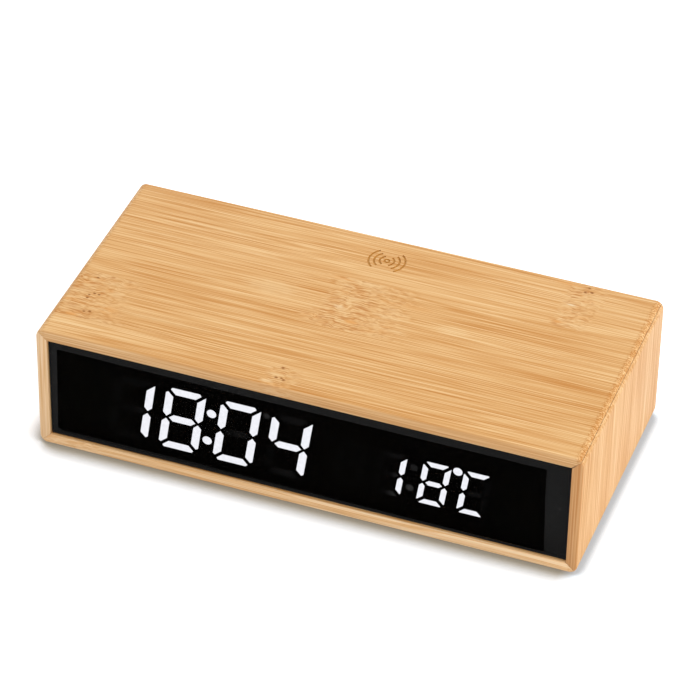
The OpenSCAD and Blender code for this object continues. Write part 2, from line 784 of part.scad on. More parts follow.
module display_ribbon() color("#d9dadd") rotate([90, 0, 90]) linear_extrude(ribbon_w, center = true) {
    translate([ribbon_start_y, ribbon_top_z - ribbon_t/2])
        square([ribbon_drop_y - ribbon_bend - ribbon_start_y, ribbon_t]);
    translate([ribbon_drop_y - ribbon_bend, ribbon_top_z - ribbon_bend]) band_bend();
    translate([ribbon_drop_y - ribbon_t/2, ribbon_low_z + ribbon_bend])
        square([ribbon_t, ribbon_top_z - ribbon_low_z - 2*ribbon_bend]);
    translate([ribbon_drop_y + ribbon_bend, ribbon_low_z + ribbon_bend]) rotate(180) band_bend();
    translate([ribbon_drop_y + ribbon_bend, ribbon_low_z - ribbon_t/2])
        square([ribbon_plug_y - ribbon_drop_y - ribbon_bend, ribbon_t]);
}

module button_ribbon() color("#b9bcc2")
    box_at([button_mid_x - button_ribbon_w/2, button_ribbon_y - button_ribbon_t/2, board_top_z + plug_h],
           [button_ribbon_w, button_ribbon_t, button_z - plug_h/2 - board_top_z - plug_h]);

// Sensor bead at the end of two leads that rise from the board and run to the vents
bead_d = 2.6;
sensor_lead_d = 0.6;
sensor_lead_gap = 1.4;
sensor_z = board_top_z + bead_d*2;
sensor_lead_y = on_board(sensor_lead_shares)[1];
bead_x = vent_x;

module temperature_sensor() color("#2f3136") {
    lead_x = on_board(sensor_lead_shares)[0];
    for (side = [-1, 1]) {
        y = sensor_lead_y + side*sensor_lead_gap/2;
        translate([lead_x, y, board_top_z]) cylinder(d = sensor_lead_d, h = sensor_z - board_top_z);
        translate([lead_x, y, sensor_z]) sphere(d = sensor_lead_d);
        translate([lead_x, y, sensor_z]) rotate([0, 90, 0]) cylinder(d = sensor_lead_d, h = bead_x - lead_x);
    }
    translate([bead_x, sensor_lead_y, sensor_z]) sphere(d = bead_d);
}

// Flat winding
module charging_coil() color("#b87333") translate([0, coil_y, coil_z]) difference() {
    cylinder(d = coil_d, h = coil_t);
    translate([0, 0, -over]) cylinder(d = coil_bore, h = coil_t + 2*over);
}

// The leads pass through a notch in the disc's rim
module ferrite_disc() color("#3a3b3d") difference() {
    translate([0, coil_y, ferrite_z]) cylinder(d = ferrite_d, h = ferrite_t);
    box_at([lead_way_x, coil_y - ferrite_d, ferrite_z - over],
           [lead_way_w, lead_drop_y + lead_bend - coil_y + ferrite_d, ferrite_t + 2*over]);
}

module coil_carrier() color("#2b2c2e") difference() {
    translate([0, coil_y, carrier_z]) linear_extrude(carrier_t) rounded_rect(carrier_w, carrier_d, carrier_t);
    carrier_post_places() translate([0, 0, carrier_z - over])
        cylinder(d = screw_d + 2*slip, h = carrier_t + 2*over);
    box_at([lead_way_x, lead_drop_y - lead_d/2 - lead_gap, carrier_z - over],
           [lead_way_w, lead_d + 2*lead_gap, carrier_t + 2*over]);
}

module carrier_screws() color("#9a9da2") carrier_post_places()
    translate([0, 0, carrier_z + carrier_t]) pan_screw(board_screw_len);

// Each lead leaves the coil's rim, bends down and goes through the carrier to the main board
module coil_leads() color("#a5642d") for (i = [0:1]) {
    x = lead_first_x + i*lead_pitch;
    start_y = coil_y - sqrt(pow(coil_d/2, 2) - pow(x - lead_d/2, 2));
    rod_y(x, lead_drop_y + lead_bend, lead_z, lead_d, start_y - lead_drop_y - lead_bend);
    translate([x, lead_drop_y + lead_bend, lead_z - lead_bend]) rotate([90, 0, 90]) rotate([0, 0, 90])
        rotate_extrude(angle = 90) translate([lead_bend, 0]) circle(d = lead_d);
    translate([x, lead_drop_y, board_top_z]) cylinder(d = lead_d, h = lead_z - lead_bend - board_top_z);
}

module socket_outline(grow) {
    rounded_rect(socket_w + 2*grow, socket_h + 2*grow, (socket_h + 2*grow)/2 - slip);
}

socket_z = board_top_z + socket_h/2;

module at_socket(y, len) {
    from_front(y, len) translate([socket_x, socket_z]) children();
}

module button_places() {
    for (i = [0:button_count - 1]) translate([button_x(i), 0, button_z]) children();
}

module button_boss_places() {
    for (sx = [-1, 1]) translate([button_mid_x + sx*button_boss_x, 0, button_z]) children();
}

module rear_cover() color("#1d1e20") difference() {
    union() {
        from_front(cover_in_y, cover_t) insert_outline();
        button_boss_places()
            rod_y(0, button_board_y + button_board_t, 0, button_boss_d, cover_in_y - switch_y + over);
    }
    button_places() rod_y(0, cover_in_y - over, 0, button_d + 2*button_gap, cover_t + 2*over);
    at_socket(cover_in_y - over, cover_t + 2*over) socket_outline(socket_gap);
    for (i = [0:vent_count - 1])
        from_front(cover_in_y - over, cover_t + 2*over)
            translate([vent_x + (i - (vent_count - 1)/2)*vent_pitch, vent_z])
                rounded_rect(vent_w, vent_h, vent_w/2 - slip);
    translate([-door_x, cover_in_y - over, door_z]) rotate([-90, 0, 0])
        cylinder(r = door_r + door_gap, h = cover_t + 2*over);
    // Ways in for the lugs of the battery door, where it is unlocked
    translate([-door_x, cover_in_y - over, door_z]) rotate([-90, 0, 0])
        lug_pair(groove_r, cover_t + 2*over, lug_angle + lug_clear, door_turn);
    cover_screw_places() {
        rod_y(0, cover_in_y - over, 0, screw_d + 2*slip, cover_t + 2*over);
        translate([0, cover_out_y - cover_head_h - slip, 0]) rotate([-90, 0, 0])
            cylinder(d1 = screw_d + 2*cover_head_gap, d2 = cover_head_d + 2*cover_head_gap,
                     h = cover_head_h + slip);
    }
    button_boss_places() rod_y(0, button_board_y, 0, screw_d + 2*slip, cover_in_y - switch_y);
}

// Countersunk screws, heads level with the cover
module cover_screws() color("#3b3d40") cover_screw_places() difference() {
    union() {
        rod_y(0, cover_out_y - cover_screw_len, 0, screw_d, cover_screw_len - slip);
        translate([0, cover_out_y - cover_head_h - slip, 0]) rotate([-90, 0, 0])
            cylinder(d1 = screw_d, d2 = cover_head_d, h = cover_head_h);
    }
    for (a = [0, 90])
        translate([0, cover_out_y - cover_head_h*0.55, 0]) rotate([0, a, 0])
            translate([-cover_head_d*0.3, 0, -cover_head_d*0.07])
                cube([cover_head_d*0.6, cover_head_h, cover_head_d*0.14]);
}

module button_board() color("#1f4d33") difference() {
    from_front(button_board_y, button_board_t) translate([button_mid_x, button_z])
        square([button_board_w, button_board_h], center = true);
    button_boss_places() rod_y(0, button_board_y - over, 0, screw_d + 2*slip, button_board_t + 2*over);
}

module button_board_screws() color("#9a9da2") button_boss_places()
    translate([0, button_board_y, 0]) rotate([90, 0, 0]) pan_screw(cover_in_y - switch_y - over);

// Switch body with a hole for its plunger, and four legs into the board
module button_switches() color("#26272a") button_places() difference() {
    translate([-switch_w/2, switch_y, -switch_w/2]) cube([switch_w, switch_t, switch_w]);
    rod_y(0, switch_y + switch_t - plunger_hole, 0, plunger_d + 2*plunger_gap, plunger_hole + over);
}

// Cap with a rounded outer rim and a flange that keeps it behind the cover
module button_cap(i) {
    cap_len = cover_t + button_proud;
    translate([button_x(i), cover_in_y, button_z]) rotate([-90, 0, 0]) {
        rotate_extrude() intersection() {
            translate([0, cap_len/2 - flange_t/2])
                rounded_rect(button_d, cap_len + flange_t, button_proud/2);
            square([button_d, cap_len]);
        }
        translate([0, 0, -flange_t]) cylinder(d = button_d + 2*flange_w, h = flange_t);
    }
}

module switch_plunger(i) {
    rod_y(button_x(i), cover_in_y - flange_t - plunger_len, button_z, plunger_d, plunger_len);
}

module mode_button() color("#2e3033") button_cap(0);
module set_button() color("#2e3033") button_cap(1);
module up_button() color("#2e3033") button_cap(2);
module down_button() color("#2e3033") button_cap(3);
module mode_plunger() color("#c8b27a") switch_plunger(0);
module set_plunger() color("#c8b27a") switch_plunger(1);
module up_plunger() color("#c8b27a") switch_plunger(2);
module down_plunger() color("#c8b27a") switch_plunger(3);

module socket_shell() color("#b9bcc2") {
    at_socket(cover_out_y - socket_len, socket_len) difference() {
        socket_outline(0);
        socket_outline(-socket_wall);
    }
    at_socket(cover_out_y - socket_len, socket_wall) socket_outline(-socket_wall);
}

module socket_tongue() color("#1a1a1b")
    translate([socket_x - tongue_w/2, cover_out_y - socket_len + socket_wall, socket_z - tongue_t/2])
        cube([tongue_w, socket_len - socket_wall - tongue_recess, tongue_t]);

// Two opposite sectors of radius r, turned by a from the X axis
module lug_pair(r, h, angle, a) {
    for (side = [0, 180])
        rotate([0, 0, side + a - angle/2]) rotate_extrude(angle = angle) square([r, h]);
}

module at_door(y) {
    translate([-door_x, y, door_z]) rotate([-90, 0, 0]) children();
}

module cell_cup() color("#2b2c2e") difference() {
    at_door(cup_y) cylinder(r = cup_r, h = cover_in_y - cup_y);
    at_door(cup_y + cup_floor_t) cylinder(d = cell_d + 2*cell_gap, h = cell_t*2);
    at_door(groove_y) cylinder(r = groove_r, h = cell_t*2);
}

module cell_spring() color("#c6a24a") at_door(cup_y + cup_floor_t) cylinder(d = cell_d*0.6, h = spring_t);

module coin_cell() color("#b9bcc2") at_door(cell_y) rotate_extrude()
    polygon([[0, 0], [cell_d/2 - spring_t*3, 0], [cell_d/2 - spring_t*3, spring_t],
             [cell_d/2, spring_t*2], [cell_d/2, cell_t], [0, cell_t]]);

// Door with a hollow for the cell, a coin slot and two lugs
module battery_door() color("#232427") difference() {
    union() {
        at_door(lug_y) cylinder(r = door_r, h = cover_out_y - lug_y);
        at_door(lug_y) lug_pair(door_r + lug_out, lug_t, lug_angle, 0);
    }
    at_door(lug_y - over) cylinder(d = cell_d + 2*cell_gap, h = cell_y + cell_t - lug_y + over + slip);
    translate([-door_x - coin_slot_len/2, cover_out_y - coin_slot_cut, door_z - coin_slot_w/2])
        cube([coin_slot_len, coin_slot_cut + over, coin_slot_w]);
}

top_panel();
bottom_panel();
left_panel();
right_panel();
rubber_feet();
display_lens();
border_film();
light_box();
time_digits();
time_colon();
temperature_digits();
degree_dot();
unlit_segments();
display_board();
segment_leds();
light_sensor();
driver_chip();
display_screws();
chassis();
chassis_screws();
main_board();
board_screws();
clock_chip();
charge_controller();
power_inductor();
capacitors();
crystal();
buzzer();
cable_plugs();
display_ribbon();
button_ribbon();
temperature_sensor();
charging_coil();
ferrite_disc();
coil_carrier();
carrier_screws();
coil_leads();
rear_cover();
cover_screws();
button_board();
button_board_screws();
button_switches();
mode_button();
set_button();
up_button();
down_button();
mode_plunger();
set_plunger();
up_plunger();
down_plunger();
socket_shell();
socket_tongue();
cell_cup();
cell_spring();
coin_cell();
battery_door();
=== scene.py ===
import math
import bpy
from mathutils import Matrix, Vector


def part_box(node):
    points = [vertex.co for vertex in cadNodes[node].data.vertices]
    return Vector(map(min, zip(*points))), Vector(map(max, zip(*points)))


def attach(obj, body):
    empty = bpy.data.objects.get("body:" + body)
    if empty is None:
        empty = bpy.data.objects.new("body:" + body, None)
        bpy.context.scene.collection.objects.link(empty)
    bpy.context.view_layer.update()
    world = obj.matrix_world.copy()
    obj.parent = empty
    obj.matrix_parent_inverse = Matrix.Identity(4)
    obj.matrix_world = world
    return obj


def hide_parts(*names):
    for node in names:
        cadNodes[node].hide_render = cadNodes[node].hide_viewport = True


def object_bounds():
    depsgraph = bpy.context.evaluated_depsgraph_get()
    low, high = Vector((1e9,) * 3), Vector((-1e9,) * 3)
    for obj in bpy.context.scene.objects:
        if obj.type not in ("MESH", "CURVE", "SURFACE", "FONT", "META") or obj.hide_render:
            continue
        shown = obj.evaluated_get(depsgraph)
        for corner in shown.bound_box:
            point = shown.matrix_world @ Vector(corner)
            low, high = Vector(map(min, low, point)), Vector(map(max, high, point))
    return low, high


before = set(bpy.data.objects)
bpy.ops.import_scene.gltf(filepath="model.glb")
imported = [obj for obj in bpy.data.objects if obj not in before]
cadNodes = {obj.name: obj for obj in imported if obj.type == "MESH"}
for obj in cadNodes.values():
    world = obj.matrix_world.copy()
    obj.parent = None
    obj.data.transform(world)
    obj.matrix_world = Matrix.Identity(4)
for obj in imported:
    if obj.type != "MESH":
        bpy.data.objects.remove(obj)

frameLow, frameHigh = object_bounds()
mm = 0.001
tiny = 1e-6
print("stage: frame loaded,", len(cadNodes), "nodes")


# camera, lamp, world and floor

cameraSetup = {"place": (0.3534, -1.00165, 0.86232), "turn": (52.09249, -0.88678, 20.15056),
               "lens": 196.2, "sensor": 36.0, "clipEnd": 20}
lightSetup = {"sky": 0.75, "keyStrength": 0.45, "keyFrom": (0.83, 0.06, 0.56), "keyAngle": 70.0}
floorSetup = {"size": 6.0, "bounce": 0.85, "seen": 0.72, "lift": 0.74, "contactReach": (12 * mm, 6 * mm),
              "contactShade": (0.58, 0.93), "contactDark": (0.27, 0.43), "contactSamples": 16,
              "lampEdge": (6 * mm, 1 * mm), "tintFades": (0.25, 0.62), "frontShadeTint": (1.0, 0.90, 0.72, 1.0),
              "rightShadeTint": (0.94, 1.0, 1.05, 1.0)}


def degrees(*angles):
    return tuple(math.radians(a) for a in angles)


bpy.ops.object.camera_add(location=cameraSetup["place"], rotation=degrees(*cameraSetup["turn"]))
camera = bpy.context.object
camera.name = "photoCamera"
camera.data.lens = cameraSetup["lens"]
camera.data.sensor_width = cameraSetup["sensor"]
camera.data.clip_end = cameraSetup["clipEnd"]
bpy.context.scene.camera = camera
bpy.context.scene.view_settings.view_transform = "Standard"

bpy.ops.object.light_add(type="SUN", location=lightSetup["keyFrom"])
keyLamp = bpy.context.object
keyLamp.name = "keyLamp"
keyLamp.rotation_euler = Vector(lightSetup["keyFrom"]).to_track_quat("Z", "Y").to_euler()
keyLamp.data.angle = math.radians(lightSetup["keyAngle"])
keyLamp.data.energy = lightSetup["keyStrength"] * math.pi


# small helpers for node trees

def feed(tree, node, key, value):
    if isinstance(value, bpy.types.NodeSocket):
        tree.links.new(value, node.inputs[key])
    else:
        node.inputs[key].default_value = value


def addNode(tree, kind, inputs=None, **settings):
    node = tree.nodes.new(kind)
    for name, value in settings.items():
        setattr(node, name, value)
    for key, value in (inputs or {}).items():
        feed(tree, node, key, value)
    return node


def calc(tree, operation, *values):
    node = addNode(tree, "ShaderNodeMath", operation=operation)
    for place, value in enumerate(values):
        feed(tree, node, place, value)
    return node.outputs[0]


def span(tree, value, low, high, outLow=0.0, outHigh=1.0, soft=False):
    node = addNode(tree, "ShaderNodeMapRange", {0: value, 1: low, 2: high, 3: outLow, 4: outHigh}, clamp=True,
                   interpolation_type="SMOOTHSTEP" if soft else "LINEAR")
    return node.outputs[0]


# Most values of a noise lie in this part
noiseMiddle = (0.35, 0.65)


def noise(tree, vector, scale=1.0, detail=2.0, roughness=0.5, distortion=0.0):
    node = addNode(tree, "ShaderNodeTexNoise", {"Vector": vector, "Scale": scale, "Detail": detail,
                                                "Roughness": roughness, "Distortion": distortion})
    return node.outputs[0]


def mapped(tree, vector, scale, shift=(0, 0, 0), turn=(0, 0, 0)):
    node = addNode(tree, "ShaderNodeMapping", {"Vector": vector, "Location": shift,
                                               "Rotation": degrees(*turn), "Scale": scale})
    return node.outputs[0]


def blendColour(tree, factor, first, second, mode="MIX"):
    node = addNode(tree, "ShaderNodeMix", {0: factor, 6: first, 7: second}, data_type="RGBA", blend_type=mode)
    return node.outputs[2]


def steps(tree, factor, stops, kind="LINEAR"):
    node = addNode(tree, "ShaderNodeValToRGB", {0: factor})
    node.color_ramp.interpolation = kind
    points = node.color_ramp.elements
    while len(points) < len(stops):
        points.new(0.5)
    # Moving a point past its neighbour swaps them, so places come first and colours after
    for point, (place, _) in zip(points, stops):
        point.position = place
    for point, (place, colour) in zip(points, stops):
        point.position = place
        point.color = colour
    return node.outputs[0]


def parts(tree, vector):
    node = addNode(tree, "ShaderNodeSeparateXYZ", {0: vector})
    return node.outputs[0], node.outputs[1], node.outputs[2]


def distance(tree, first, second):
    node = addNode(tree, "ShaderNodeVectorMath", {0: first, 1: second}, operation="DISTANCE")
    return node.outputs["Value"]


def vectorOf(tree, x, y, z):
    return addNode(tree, "ShaderNodeCombineXYZ", {0: x, 1: y, 2: z}).outputs[0]


def startGroup(name, inputs, outputs):
    tree = bpy.data.node_groups.new(name, "ShaderNodeTree")
    for label, kind, value in inputs:
        socket = tree.interface.new_socket(name=label, in_out="INPUT", socket_type="NodeSocket" + kind)
        if value is not None:
            socket.default_value = value
    for label in outputs:
        tree.interface.new_socket(name=label, in_out="OUTPUT", socket_type="NodeSocketFloat")
    return tree, tree.nodes.new("NodeGroupInput").outputs, tree.nodes.new("NodeGroupOutput")


def useGroup(tree, group, inputs):
    node = tree.nodes.new("ShaderNodeGroup")
    node.node_tree = group
    for key, value in inputs.items():
        feed(tree, node, key, value)
    return node.outputs


def srgb(red, green, blue):
    values = [c / 255 for c in (red, green, blue)]
    return tuple(c / 12.92 if c <= 0.04045 else ((c + 0.055) / 1.055) ** 2.4 for c in values) + (1.0,)


def newMaterial(name, inputs):
    material = bpy.data.materials.new(name)
    material.use_nodes = True
    tree = material.node_tree
    shader = next(n for n in tree.nodes if n.type == "BSDF_PRINCIPLED")
    for key, value in inputs.items():
        feed(tree, shader, key, value)
    place = addNode(tree, "ShaderNodeTexCoord").outputs["Object"]
    return material, tree, shader, mapped(tree, place, (1 / mm, 1 / mm, 1 / mm))


def addBump(tree, shader, height, depth, strength=1.0):
    bump = addNode(tree, "ShaderNodeBump", {"Strength": strength, "Distance": depth * mm, "Height": height})
    feed(tree, shader, "Normal", bump.outputs[0])


def dress(material, *names):
    for name in names:
        node = cadNodes[name]
        if not node.material_slots:
            node.data.materials.append(material)
        for slot in node.material_slots:
            slot.material = material


# World: plain light on the object, white where it is seen directly or mirrored
world = bpy.data.worlds.new("paleSky")
bpy.context.scene.world = world
world.use_nodes = True
worldTree = world.node_tree
worldTree.nodes.clear()


def seenDirectly(tree):
    path = tree.nodes.new("ShaderNodeLightPath").outputs
    either = calc(tree, "MAXIMUM", path["Is Camera Ray"], path["Is Glossy Ray"])
    return calc(tree, "MAXIMUM", either, path["Is Transmission Ray"])


skyLight = addNode(worldTree, "ShaderNodeBackground", {"Color": (1, 1, 1, 1), "Strength": lightSetup["sky"]})
skySeen = addNode(worldTree, "ShaderNodeBackground", {"Color": (1, 1, 1, 1), "Strength": 1.0})
skyMix = addNode(worldTree, "ShaderNodeMixShader", {0: seenDirectly(worldTree), 1: skyLight.outputs[0],
                                                    2: skySeen.outputs[0]})
addNode(worldTree, "ShaderNodeOutputWorld", {0: skyMix.outputs[0]})

bpy.ops.mesh.primitive_plane_add(size=floorSetup["size"])
floor = bpy.context.object
floor.name = "floorPlane"
floorMaterial = bpy.data.materials.new("whiteFloor")
floorMaterial.use_nodes = True
floorTree = floorMaterial.node_tree
floorTree.nodes.clear()
bounced = addNode(floorTree, "ShaderNodeBsdfDiffuse", {"Color": (floorSetup["bounce"],) * 3 + (1,)})
# The soft shade where the case almost touches the floor, shorter on the lamp's side
floorX = parts(floorTree, addNode(floorTree, "ShaderNodeTexCoord").outputs["Object"])[0]
lampSide = span(floorTree, floorX, *[frameHigh.x - inset for inset in floorSetup["lampEdge"]])
reach = span(floorTree, lampSide, 0.0, 1.0, *floorSetup["contactReach"])
near = addNode(floorTree, "ShaderNodeAmbientOcclusion", {"Distance": reach},
               samples=floorSetup["contactSamples"])
contact = span(floorTree, near.outputs["AO"], *floorSetup["contactShade"],
               span(floorTree, lampSide, 0.0, 1.0, *floorSetup["contactDark"]), 1.0)
# The painted shade is tinted, warm in front of the case and cool on the lamp's side
fading = span(floorTree, contact, *floorSetup["tintFades"])
frontShadeTint = blendColour(floorTree, fading, floorSetup["frontShadeTint"], (1, 1, 1, 1))
contactShadeTint = blendColour(floorTree, lampSide, frontShadeTint, floorSetup["rightShadeTint"])
seenTone = calc(floorTree, "MULTIPLY", contact, floorSetup["seen"])
shadedTint = blendColour(floorTree, seenTone, (0, 0, 0, 1), contactShadeTint)
shaded = addNode(floorTree, "ShaderNodeBsdfDiffuse", {"Color": shadedTint})
lifted = addNode(floorTree, "ShaderNodeEmission", {
    "Color": contactShadeTint, "Strength": calc(floorTree, "MULTIPLY", contact, floorSetup["lift"])})
seenFloor = addNode(floorTree, "ShaderNodeAddShader", {0: shaded.outputs[0], 1: lifted.outputs[0]})
floorMix = addNode(floorTree, "ShaderNodeMixShader", {0: seenDirectly(floorTree), 1: bounced.outputs[0],
                                                      2: seenFloor.outputs[0]})
addNode(floorTree, "ShaderNodeOutputMaterial", {0: floorMix.outputs[0]})
floor.data.materials.append(floorMaterial)
print("stage: camera, light and floor")


# small helpers for modelling

def leaveEdit():
    if bpy.context.object and bpy.context.object.mode != "OBJECT":
        bpy.ops.object.mode_set(mode="OBJECT")


def onlySelect(*pieces):
    leaveEdit()
    bpy.ops.object.select_all(action="DESELECT")
    for piece in pieces:
        piece.select_set(True)
    bpy.context.view_layer.objects.active = pieces[0]


def enterEdit(piece, mode="FACE"):
    onlySelect(piece)
    bpy.context.tool_settings.mesh_select_mode = (mode == "VERT", mode == "EDGE", mode == "FACE")
    bpy.ops.object.mode_set(mode="EDIT")


def pickAll():
    bpy.ops.mesh.select_all(action="SELECT")


def editAll(piece):
    enterEdit(piece)
    pickAll()


def clearPicks(piece):
    onlySelect(piece)
    for group in (piece.data.vertices, piece.data.edges, piece.data.polygons):
        for item in group:
            item.select = False


def pickFaces(piece, wanted):
    clearPicks(piece)
    for face in piece.data.polygons:
        face.select = bool(wanted(face.center, face.normal))
    enterEdit(piece)


def roundEdges(piece, width, segments, wanted):
    clearPicks(piece)
    corners = piece.data.vertices
    for edge in piece.data.edges:
        edge.select = bool(wanted(corners[edge.vertices[0]].co, corners[edge.vertices[1]].co))
    enterEdit(piece, "EDGE")
    bpy.ops.mesh.bevel(offset=width, segments=segments, affect="EDGES")
    leaveEdit()


def named(name):
    piece = bpy.context.object
    piece.name = name
    piece.data.name = name
    return piece


def settle(piece):
    onlySelect(piece)
    bpy.ops.object.transform_apply(location=True, rotation=True, scale=True)


def addBlock(name, low, high):
    low, high = Vector(low), Vector(high)
    bpy.ops.mesh.primitive_cube_add(size=1, location=(low + high) / 2)
    block = named(name)
    block.scale = high - low
    settle(block)
    return block


def applyModifier(piece, kind, name, **settings):
    onlySelect(piece)
    modifier = piece.modifiers.new(name, kind)
    for key, value in settings.items():
        setattr(modifier, key, value)
    bpy.ops.object.modifier_apply(modifier=name)


def tidyMesh(piece, angle=35):
    editAll(piece)
    bpy.ops.mesh.remove_doubles(threshold=tiny)
    bpy.ops.mesh.normals_make_consistent(inside=False)
    leaveEdit()
    bpy.ops.object.shade_smooth_by_angle(angle=math.radians(angle))


def copyOf(piece, name):
    onlySelect(piece)
    bpy.ops.object.duplicate()
    return named(name)


def movedCopy(piece, name, by):
    another = copyOf(piece, name)
    editAll(another)
    bpy.ops.transform.translate(value=by)
    leaveEdit()
    return another


def cutAway(piece, cutterName, cutters):
    onlySelect(*cutters)
    bpy.ops.object.join()
    cutter = named(cutterName)
    applyModifier(piece, "BOOLEAN", cutterName, object=cutter, operation="DIFFERENCE", solver="EXACT")
    onlySelect(cutter)
    bpy.ops.object.delete()


def finishPiece(piece, material, body, slotName, *replaced):
    piece.data.materials.clear()
    piece.data.materials.append(material)
    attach(piece, body)
    if replaced:
        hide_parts(*replaced)


# shared surface effects

# Grain of pressed bamboo in millimetres: X runs along the fibres, Y across the board, Z into it
boardLength, boardWidth = 200.0, 100.0
grain, grainIn, grainOut = startGroup(
    "bambooGrain",
    [("Grain", "Vector", None), ("Strip Shift", "Float", 0.0), ("Knuckles", "Float", 1.0),
     ("End Grain", "Float", 0.0)],
    ("Tone", "Dash", "Pale", "Warm", "Streak", "Height", "Roughness"))
along, across, inward = parts(grain, grainIn["Grain"])


def swing(scale, detail, reach):
    # A slow noise that shifts things by the reach to both sides
    field = noise(grain, mapped(grain, grainIn["Grain"], scale), detail=detail)
    return calc(grain, "MULTIPLY_ADD", field, 2 * reach, -reach)


wander = swing((0.010, 0.04, 0.04), 1.0, 0.8)
shifted = calc(grain, "ADD", across, grainIn["Strip Shift"])
fromEdge = calc(grain, "ADD", shifted, boardWidth / 2)
stripPlace = calc(grain, "FRACT", calc(grain, "DIVIDE", fromEdge, boardWidth))
# Strips of the board: lower edge as a share of its width; red is the tone, green the knuckle's place
# as a share of the board's length and blue its half length as a share of the longest
longestHalf = 20.0
stripStops = [(0.0, (0.59, 0.448, 0.30, 1)), (0.14, (0.50, 0.06, 0.70, 1)),
              (0.4025, (0.57, 0.512, 0.80, 1)), (0.70, (0.53, 0.862, 0.34, 1))]
stripFacts = addNode(grain, "ShaderNodeSeparateColor", {0: steps(grain, stripPlace, stripStops, "CONSTANT")})
knuckleAt = calc(grain, "MULTIPLY_ADD", stripFacts.outputs[1], boardLength, -boardLength / 2)
knuckleHalf = calc(grain, "MULTIPLY", stripFacts.outputs[2], longestHalf)
fromMiddle = calc(grain, "DIVIDE", calc(grain, "SUBTRACT", along, knuckleAt), knuckleHalf)
ragged = swing((0.03, 0.35, 0.35), 2.0, 0.7)
fromKnuckle = calc(grain, "ABSOLUTE", calc(grain, "ADD", fromMiddle, ragged))
knuckle = calc(grain, "MULTIPLY", span(grain, fromKnuckle, 1.15, 0.60, soft=True), grainIn["Knuckles"])
# Fibres bend a little round the knuckles
bend = calc(grain, "MULTIPLY", swing((0.20, 0.10, 0.10), 1.0, 1.0), knuckle)
shiftBy = calc(grain, "ADD", wander, bend)
fibreSpace = vectorOf(grain, along, calc(grain, "ADD", across, shiftBy), calc(grain, "ADD", inward, shiftBy))


def fibreField(scale, shift, low, high, detail=0.0):
    field = noise(grain, mapped(grain, fibreSpace, (scale[0], scale[1], scale[1]), shift), 1.0, detail)
    return span(grain, field, low, high)


# Fibres from fine to broad: scale along and across, where the dark begins and ends, and the share of the tone
fibreKinds = [((0.034, 3.1), (7, 3, 5), 0.40, 0.60, 0.36), ((0.016, 2.3), (2, 8, 5), 0.39, 0.61, 0.32),
              ((0.010, 0.18), (3, 9, 1), 0.30, 0.70, 0.06), ((0.007, 0.09), (6, 2, 7), 0.30, 0.70, 0.16)]
tone = calc(grain, "ADD", stripFacts.outputs[0], -0.5)
for scale, shift, low, high, share in fibreKinds:
    tone = calc(grain, "MULTIPLY_ADD", fibreField(scale, shift, low, high), share, tone)
streaks = fibreField((0.014, 0.50), (11, 2, 8), 0.60, 0.72)
# Darker fibres run beside the joints between strips
wandering = calc(grain, "ADD", across, wander)
jointReach = 2.0
joints = 0.0
for lowerEdge, _ in stripStops[1:]:
    away = calc(grain, "ABSOLUTE", calc(grain, "SUBTRACT", wandering, (lowerEdge - 0.5) * boardWidth))
    joints = calc(grain, "MAXIMUM", joints, span(grain, away, jointReach, 0.0, soft=True))
jointStreak = calc(grain, "MULTIPLY", joints, fibreField((0.020, 0.6), (5, 5, 5), 0.42, 0.60, 1.0))
# Short dark and pale dashes in the knuckles, and slanting ripples in their right part
dashField = noise(grain, mapped(grain, fibreSpace, (0.17, 1.9, 1.9), (2, 7, 4)), 1.0, 1.0, 0.5, 0.15)
slantSpace = mapped(grain, fibreSpace, (0.34, 1.55, 1.55), (1, 4, 2), (0, 0, 12))
rippleField = noise(grain, slantSpace, 1.0, 1.0, 0.5, 0.1)
rightPart = span(grain, fromMiddle, 0.10, 0.30, soft=True)
dashMix = addNode(grain, "ShaderNodeMix", {0: rightPart, 2: dashField, 3: rippleField},
                  data_type="FLOAT").outputs[0]
dashFade = calc(grain, "MULTIPLY", knuckle, span(grain, rightPart, 0.0, 1.0, 1.0, 0.6))
dashes = calc(grain, "MULTIPLY", span(grain, dashMix, 0.51, 0.63), dashFade)
paleDashes = calc(grain, "MULTIPLY", span(grain, dashMix, 0.47, 0.34), dashFade)
palePatch = calc(grain, "MULTIPLY", fibreField((0.12, 0.42), (4, 4, 9), 0.50, 0.74, 1.0), knuckle)
warmPatch = calc(grain, "MULTIPLY", fibreField((0.14, 0.46), (8, 1, 3), 0.56, 0.80, 1.0), knuckle)
# Cut ends of the fibres, in the rounding beside the mitre
cutFibres = noise(grain, mapped(grain, grainIn["Grain"], (1.5, 2.1, 1.5)), detail=2.0)
ends = calc(grain, "MULTIPLY", grainIn["End Grain"], span(grain, cutFibres, 0.47, 0.62))
calmer = calc(grain, "MULTIPLY", knuckle, 0.40)
tone = calc(grain, "MULTIPLY_ADD", calc(grain, "SUBTRACT", 0.54, tone), calmer, tone)
tone = calc(grain, "MULTIPLY_ADD", ends, -0.22, tone)
for socket, value in (("Tone", tone), ("Dash", calc(grain, "MAXIMUM", dashes, ends)), ("Warm", warmPatch),
                      ("Pale", calc(grain, "MAXIMUM", palePatch, paleDashes)),
                      ("Streak", calc(grain, "MAXIMUM", streaks, jointStreak))):
    feed(grain, grainOut, socket, value)
feed(grain, grainOut, "Height", calc(grain, "MULTIPLY_ADD", dashes, -0.8, tone))
feed(grain, grainOut, "Roughness", span(grain, tone, 0.0, 1.0, 0.60, 0.44))

